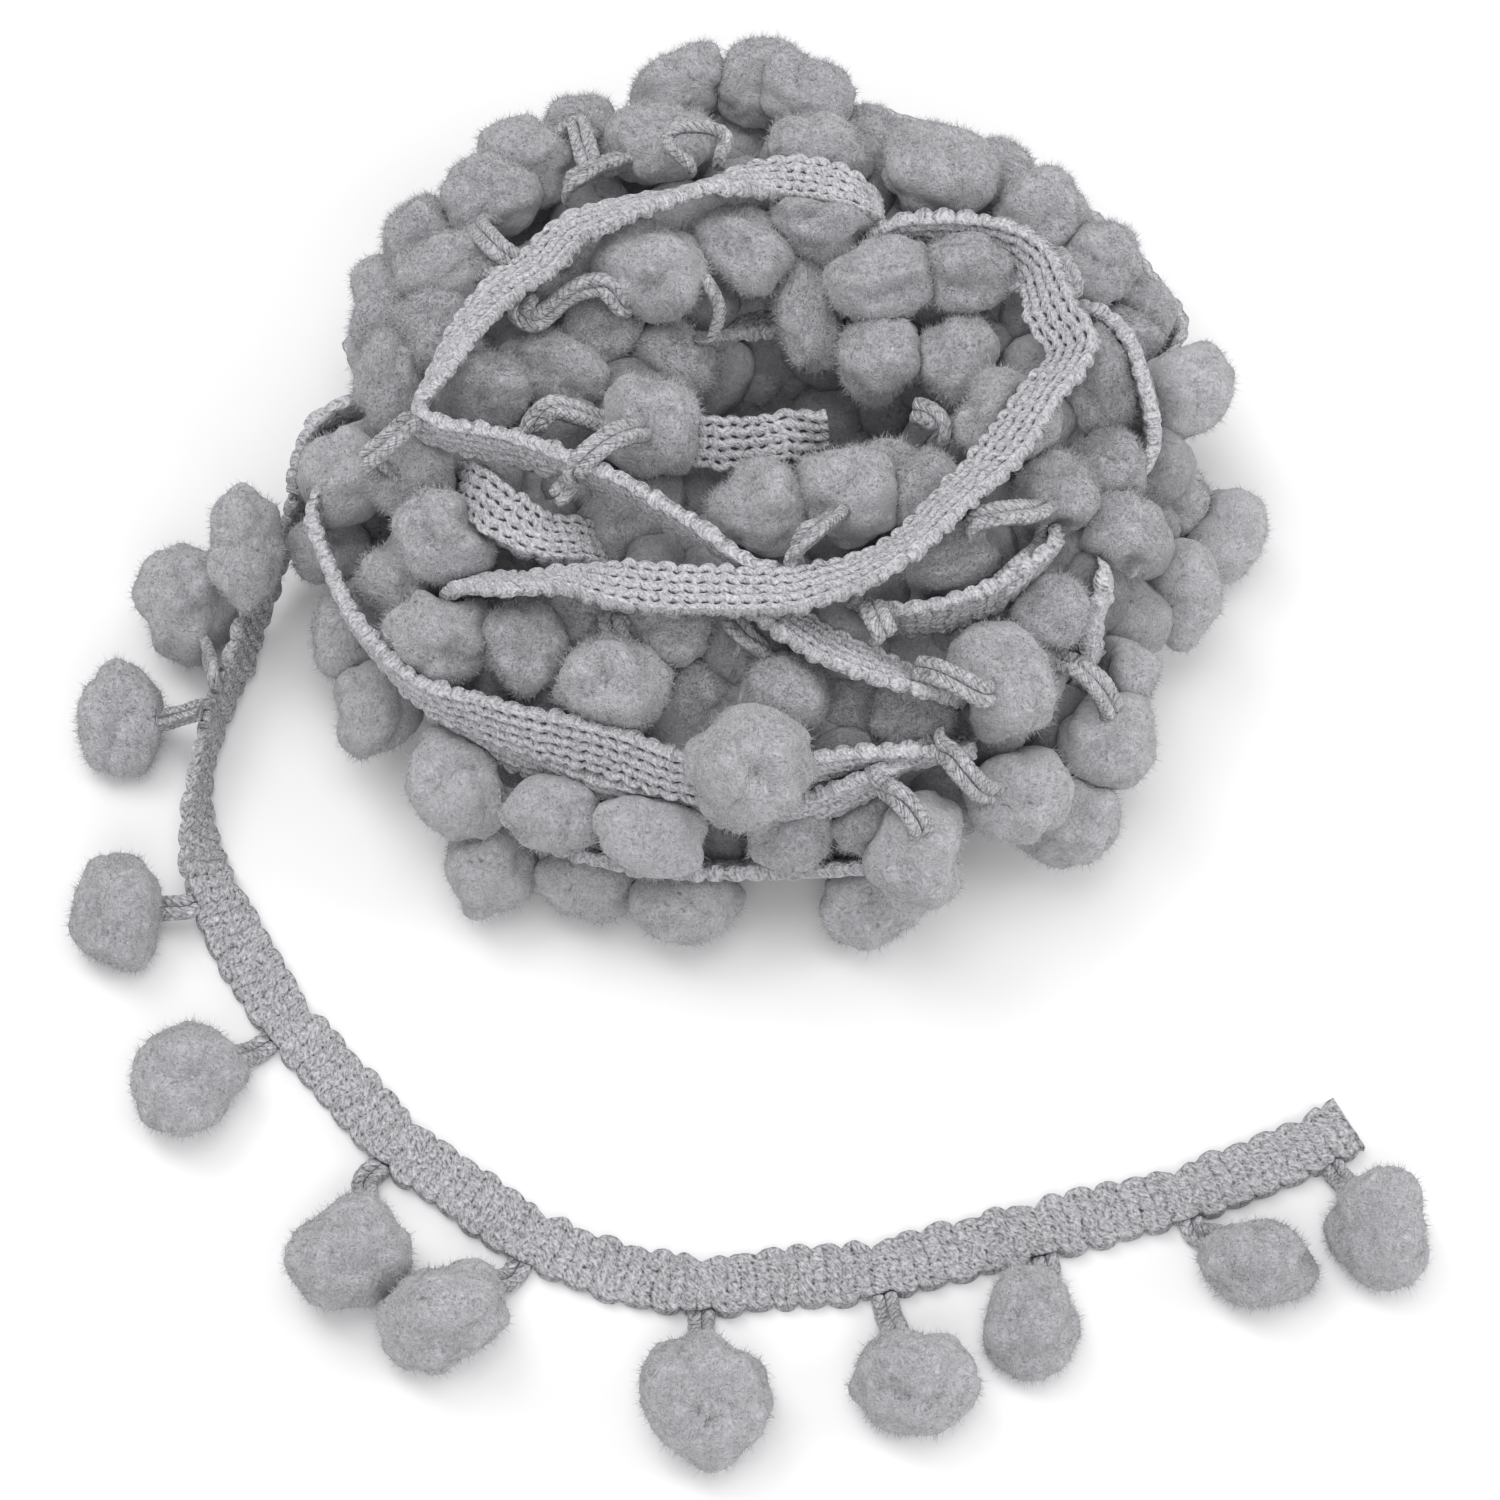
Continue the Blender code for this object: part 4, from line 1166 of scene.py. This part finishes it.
        heap.add(places, [faces], fibre=fibre)


def into_wool(points, balls):
    """A cord's points, with one more inside the ball that each of its ends is near."""
    points = with_leans(points)
    for place, touch in zip((len(points), 0), (LAST_TOUCH, FIRST_TOUCH)):
        end = np.array(points[place - 1 if place else 0])
        level, k = min((ball.level(end[:3]), k) for k, ball in enumerate(balls))
        if level < touch:
            inside = balls[k].middle + (end[:3] - balls[k].middle) * (CORD_DEPTH / level)
            points.insert(place, (*inside, end[3]))
    return points


def pressing_braid(points, facing, thickness):
    """A length of braid as press_braid takes it."""
    route, leans, _passed = smooth_route(points, PRESSING_STEP)
    return (route, *frames(route, leans, facing, 1), thickness / 2)


def settle(balls, braids):
    """Presses touching balls flat against each other and against the braid."""
    for ball in balls:
        for other in balls:
            apart = np.linalg.norm(other.middle - ball.middle)
            if other is not ball and apart < ball.size + other.size + 1:
                ball.press_ball(other)
    for ball in balls:
        for braid in braids:
            ball.press_braid(braid)
        ball.soften(times=6)


# ---------------------------------------------------------------- scene

def hidden_balls():
    """The rows of balls round the back and sides, as rows of BALLS."""
    for radius, height, first, last, count, size in BALL_ROWS:
        for k in range(count):
            bearing = math.radians(first + (last - first) * k / (count - 1))
            spot = (radius * math.cos(bearing), radius * math.sin(bearing), height)
            yield (*spot, size, size * ROW_BALL_WIDTH, ROW_BALL_SLANTS[k % len(ROW_BALL_SLANTS)])


def arc_points(radius, height, first, last, rise, lean):
    """The points of a turn of braid that goes evenly round the hank."""
    for bearing in range(first, last + 1, ARC_STEP):
        angle = math.radians(bearing)
        wave = rise * math.sin(ARC_WAVES * angle)
        yield (radius * math.cos(angle), radius * math.sin(angle), height + wave, lean)


def core_places(rng, count):
    """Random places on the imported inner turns."""
    profile = np.array(CORE_PROFILE, float)
    lengths = np.linalg.norm(np.diff(profile, axis=0), axis=1)
    radii = (profile[1:, 0] + profile[:-1, 0]) / 2
    areas = lengths * radii
    span = rng.choice(len(areas), count, p=areas / areas.sum())
    share = rng.uniform(0, 1, count)[:, None]
    spots = profile[span] * (1 - share) + profile[span + 1] * share
    bearing = rng.uniform(0, math.tau, count)
    radius, height = spots.T
    places = np.stack([radius * np.cos(bearing), radius * np.sin(bearing), height], 1)
    inward = np.maximum(0, 1 - radius / CORE_RADIUS)
    places[:, :2] += np.array(HOLLOW_SHIFT) * inward[:, None]
    return places


def filler_balls(taken):
    """Balls deeper in the hank, wherever there is room between those that are listed."""
    rng = np.random.default_rng(SEEDS["filler place"])
    places = core_places(rng, FILLER_TRIES)
    places = places[places[:, 2] > FILLER_FLOOR]
    centres = [np.array(row[:3], float) for row in taken]
    for place in places:
        if min(np.linalg.norm(place - centre) for centre in centres) > FILLER_ROOM:
            centres.append(place)
            size = rng.uniform(*FILLER_SIZES)
            yield (*place, size, size * rng.uniform(0.8, 0.95), rng.uniform(0, 180))


def object_of(name, bm, material):
    """An object with the shape that was built up."""
    mesh = bpy.data.meshes.new(name)
    bm.to_mesh(mesh)
    bm.free()
    mesh.materials.append(material)
    return add_object(name, mesh)


def make_core(material):
    """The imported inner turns, which show only deep between the balls."""
    bm = bmesh.new()
    profile = [bm.verts.new((r, 0, z)) for r, z in CORE_PROFILE]
    edges = [bm.edges.new(pair) for pair in zip(profile, profile[1:])]
    bmesh.ops.spin(
        bm, geom=profile + edges, cent=(0, 0, 0), axis=(0, 0, 1), angle=math.tau,
        steps=CORE_STEPS, use_merge=True,
    )
    bmesh.ops.remove_doubles(bm, verts=bm.verts, dist=0.01)
    bmesh.ops.recalc_face_normals(bm, faces=bm.faces)
    for vert in bm.verts:
        share = max(0.0, 1 - vert.co.xy.length / CORE_RADIUS)
        vert.co.xy += Vector(HOLLOW_SHIFT) * share
    bmesh.ops.scale(bm, vec=(MM, MM, MM), verts=bm.verts)
    # spinning lists the faces in another order each time, so they are put in one order here
    bm.verts.index_update()
    bm.faces.sort(key=lambda face: face.verts[0].index * len(bm.verts) + face.verts[1].index)
    core = object_of("packed_core", bm, material)
    core.data.shade_smooth()
    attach(core, "root")
    return core


def make_camera():
    """Looks at the middle of the hank from above the front, with the view shifted down so that the
    free end is in it."""
    data = bpy.data.cameras.new("Camera")
    data.lens = 100
    data.sensor_width = 36
    data.clip_start, data.clip_end = 0.05, 10
    data.shift_x, data.shift_y = VIEW_SHIFT
    camera = add_object("Camera", data)
    elevation = math.radians(VIEW_ELEVATION)
    back = Vector((0, -math.cos(elevation), math.sin(elevation)))
    camera.location = back * VIEW_DISTANCE
    camera.rotation_euler = (-back).to_track_quat("-Z", "Y").to_euler()
    bpy.context.scene.camera = camera


def make_light(name, place, power):
    """A round soft box that faces the trim."""
    data = bpy.data.lights.new(name, "AREA")
    data.shape = "DISK"
    data.size = SOFT_BOX_SIZE
    data.energy = power
    light = add_object(name, data)
    light.location = place
    light.rotation_euler = (Vector(LIGHT_AIM) - Vector(place)).to_track_quat("-Z", "Y").to_euler()


def make_studio():
    world = bpy.data.worlds.new("Studio")
    world.use_nodes = True
    background = world.node_tree.nodes["Background"]
    background.inputs["Color"].default_value = (1, 1, 1, 1)
    background.inputs["Strength"].default_value = ROOM_LIGHT
    bpy.context.scene.world = world
    for name, place, power in SOFT_BOXES:
        make_light(name, place, power)

    bm = bmesh.new()
    bmesh.ops.create_grid(bm, x_segments=8, y_segments=8, size=3)
    table = object_of("table", bm, table_finish("table"))
    bpy.context.scene.view_settings.view_transform = "Standard"


make_camera()
make_studio()

braid = braid_finish("braid")
cord = cord_finish("cord")
wool = wool_finish("pompom", light=0.64, dark=0.165)
# a darker copy of the wool, as painted shade, for the inner turns and the balls deep in the hank
shaded_wool = wool_finish("shaded_trim", light=0.5, dark=0.13)
fuzz = fuzz_finish("fuzz", light=0.65, dark=0.46)

core = make_core(shaded_wool)
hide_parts("wound_bundle")

turns = {**BRAID_TURNS, **{label: list(arc_points(*row)) for label, row in BRAID_ARCS.items()}}
pressing = []
for number, (label, points) in enumerate(turns.items()):
    step, cells = (1.0, 2) if label in BRAID_ARCS else (0.5, 4)
    seed = SEEDS["turn"] + number
    make_braid(label, points, out_of_ring, TURN_THICKNESS, False, seed, [], braid, step, cells)
    pressing.append(pressing_braid(points, out_of_ring, TURN_THICKNESS))
pressing.append(pressing_braid(TAIL, upward, BRAID_THICKNESS))

stations = [row[6] for row in TAIL_BALLS]
seed = SEEDS["free end"]
tail = make_braid("free_end", TAIL, upward, BRAID_THICKNESS, True, seed, stations, braid)
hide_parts("tail_braid")

listed = [*BALLS, *hidden_balls()]
fillers = [*filler_balls(listed), *GAP_BALLS]
balls = []
for k, row in enumerate(listed):
    kind = "row" if k >= len(BALLS) else "fine" if row[2] > FINE_HEIGHT else "plain"
    balls.append(Ball(ball_matrix(*row), SEEDS["hank ball"] + k, kind))
for k, row in enumerate(fillers):
    balls.append(Ball(ball_matrix(*row), SEEDS["filler"] + k, "filler"))
tail_balls = [
    Ball(lifted_ball_matrix(*row[:6]), SEEDS["free end's ball"] + k, "tail", LOBES.get(k))
    for k, row in enumerate(TAIL_BALLS)
]
settle(balls + tail_balls, pressing)

for start in range(0, len(balls), GROUP):
    heap, hairs, deep = Heap(), Heap(), Heap()
    for ball in balls[start:start + GROUP]:
        # balls deep in the hank take the darker wool of painted shade
        ball.add_to(deep if ball.kind == "filler" else heap)
        ball.add_fuzz(hairs, FUZZ_COUNTS[ball.kind], out_of_ring(ball.middle[None, :])[0])
    number = start // GROUP + 1
    if heap.count:
        heap.piece(f"hank_pompoms_{number}", wool, "pompom")
    if deep.count:
        deep.piece(f"deep_pompoms_{number}", shaded_wool, "pompom")
    hairs.piece(f"hank_fuzz_{number}", fuzz, "pompom", shade=False)

tail_pieces = []
for number, ball in enumerate(tail_balls, 1):
    heap, hairs = Heap(), Heap()
    ball.add_to(heap)
    ball.add_fuzz(hairs, FUZZ_COUNTS[ball.kind])
    piece = heap.piece(f"pompom_{number:02d}", wool, "pompom")
    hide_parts(f"tail_pompom_{number:02d}")
    loose = hairs.piece(f"pompom_fuzz_{number:02d}", fuzz, "pompom", shade=False)
    tail_pieces += [piece, loose]

heap = Heap()
for seed, points in enumerate(CORDS.values(), SEEDS["hank cord"]):
    points = into_wool(points, balls)
    add_cord(heap, points, out_of_ring, seed, thickness=HANK_CORD_THICKNESS, sunk=SUNK_END)
for seed, points in enumerate(LOOPS.values(), SEEDS["loop"]):
    add_cord(heap, points, out_of_ring, seed, strands=(0,), sunk=SUNK_END)
heap.piece("hank_cords", cord, "cord")

# cords of the free end
route, leans, passed = smooth_route(TAIL, 0.5)
_along, side, out = frames(route, leans, upward, 4)
for number, (row, ball) in enumerate(zip(TAIL_BALLS, tail_balls), 1):
    i = int(np.argmin(np.abs(passed - row[6])))
    edge = route[i] + side[i] * (BRAID_WIDTH / 2 - TAIL_CORD_INSET)
    gap = edge - ball.middle
    face = ball.middle + gap / ball.level(edge) * TAIL_CORD_REACH
    bend = np.linalg.norm(face - edge) / 3
    points = [edge, edge + side[i] * bend, face + unit(gap) * bend * 0.8, face]
    heap = Heap()
    add_cord(heap, points, steady(out[i]), SEEDS["free end's cord"] + number)
    piece = heap.piece(f"cord_{number:02d}", cord, "cord")
    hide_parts(f"tail_cord_{number:02d}")
    tail_pieces.append(piece)
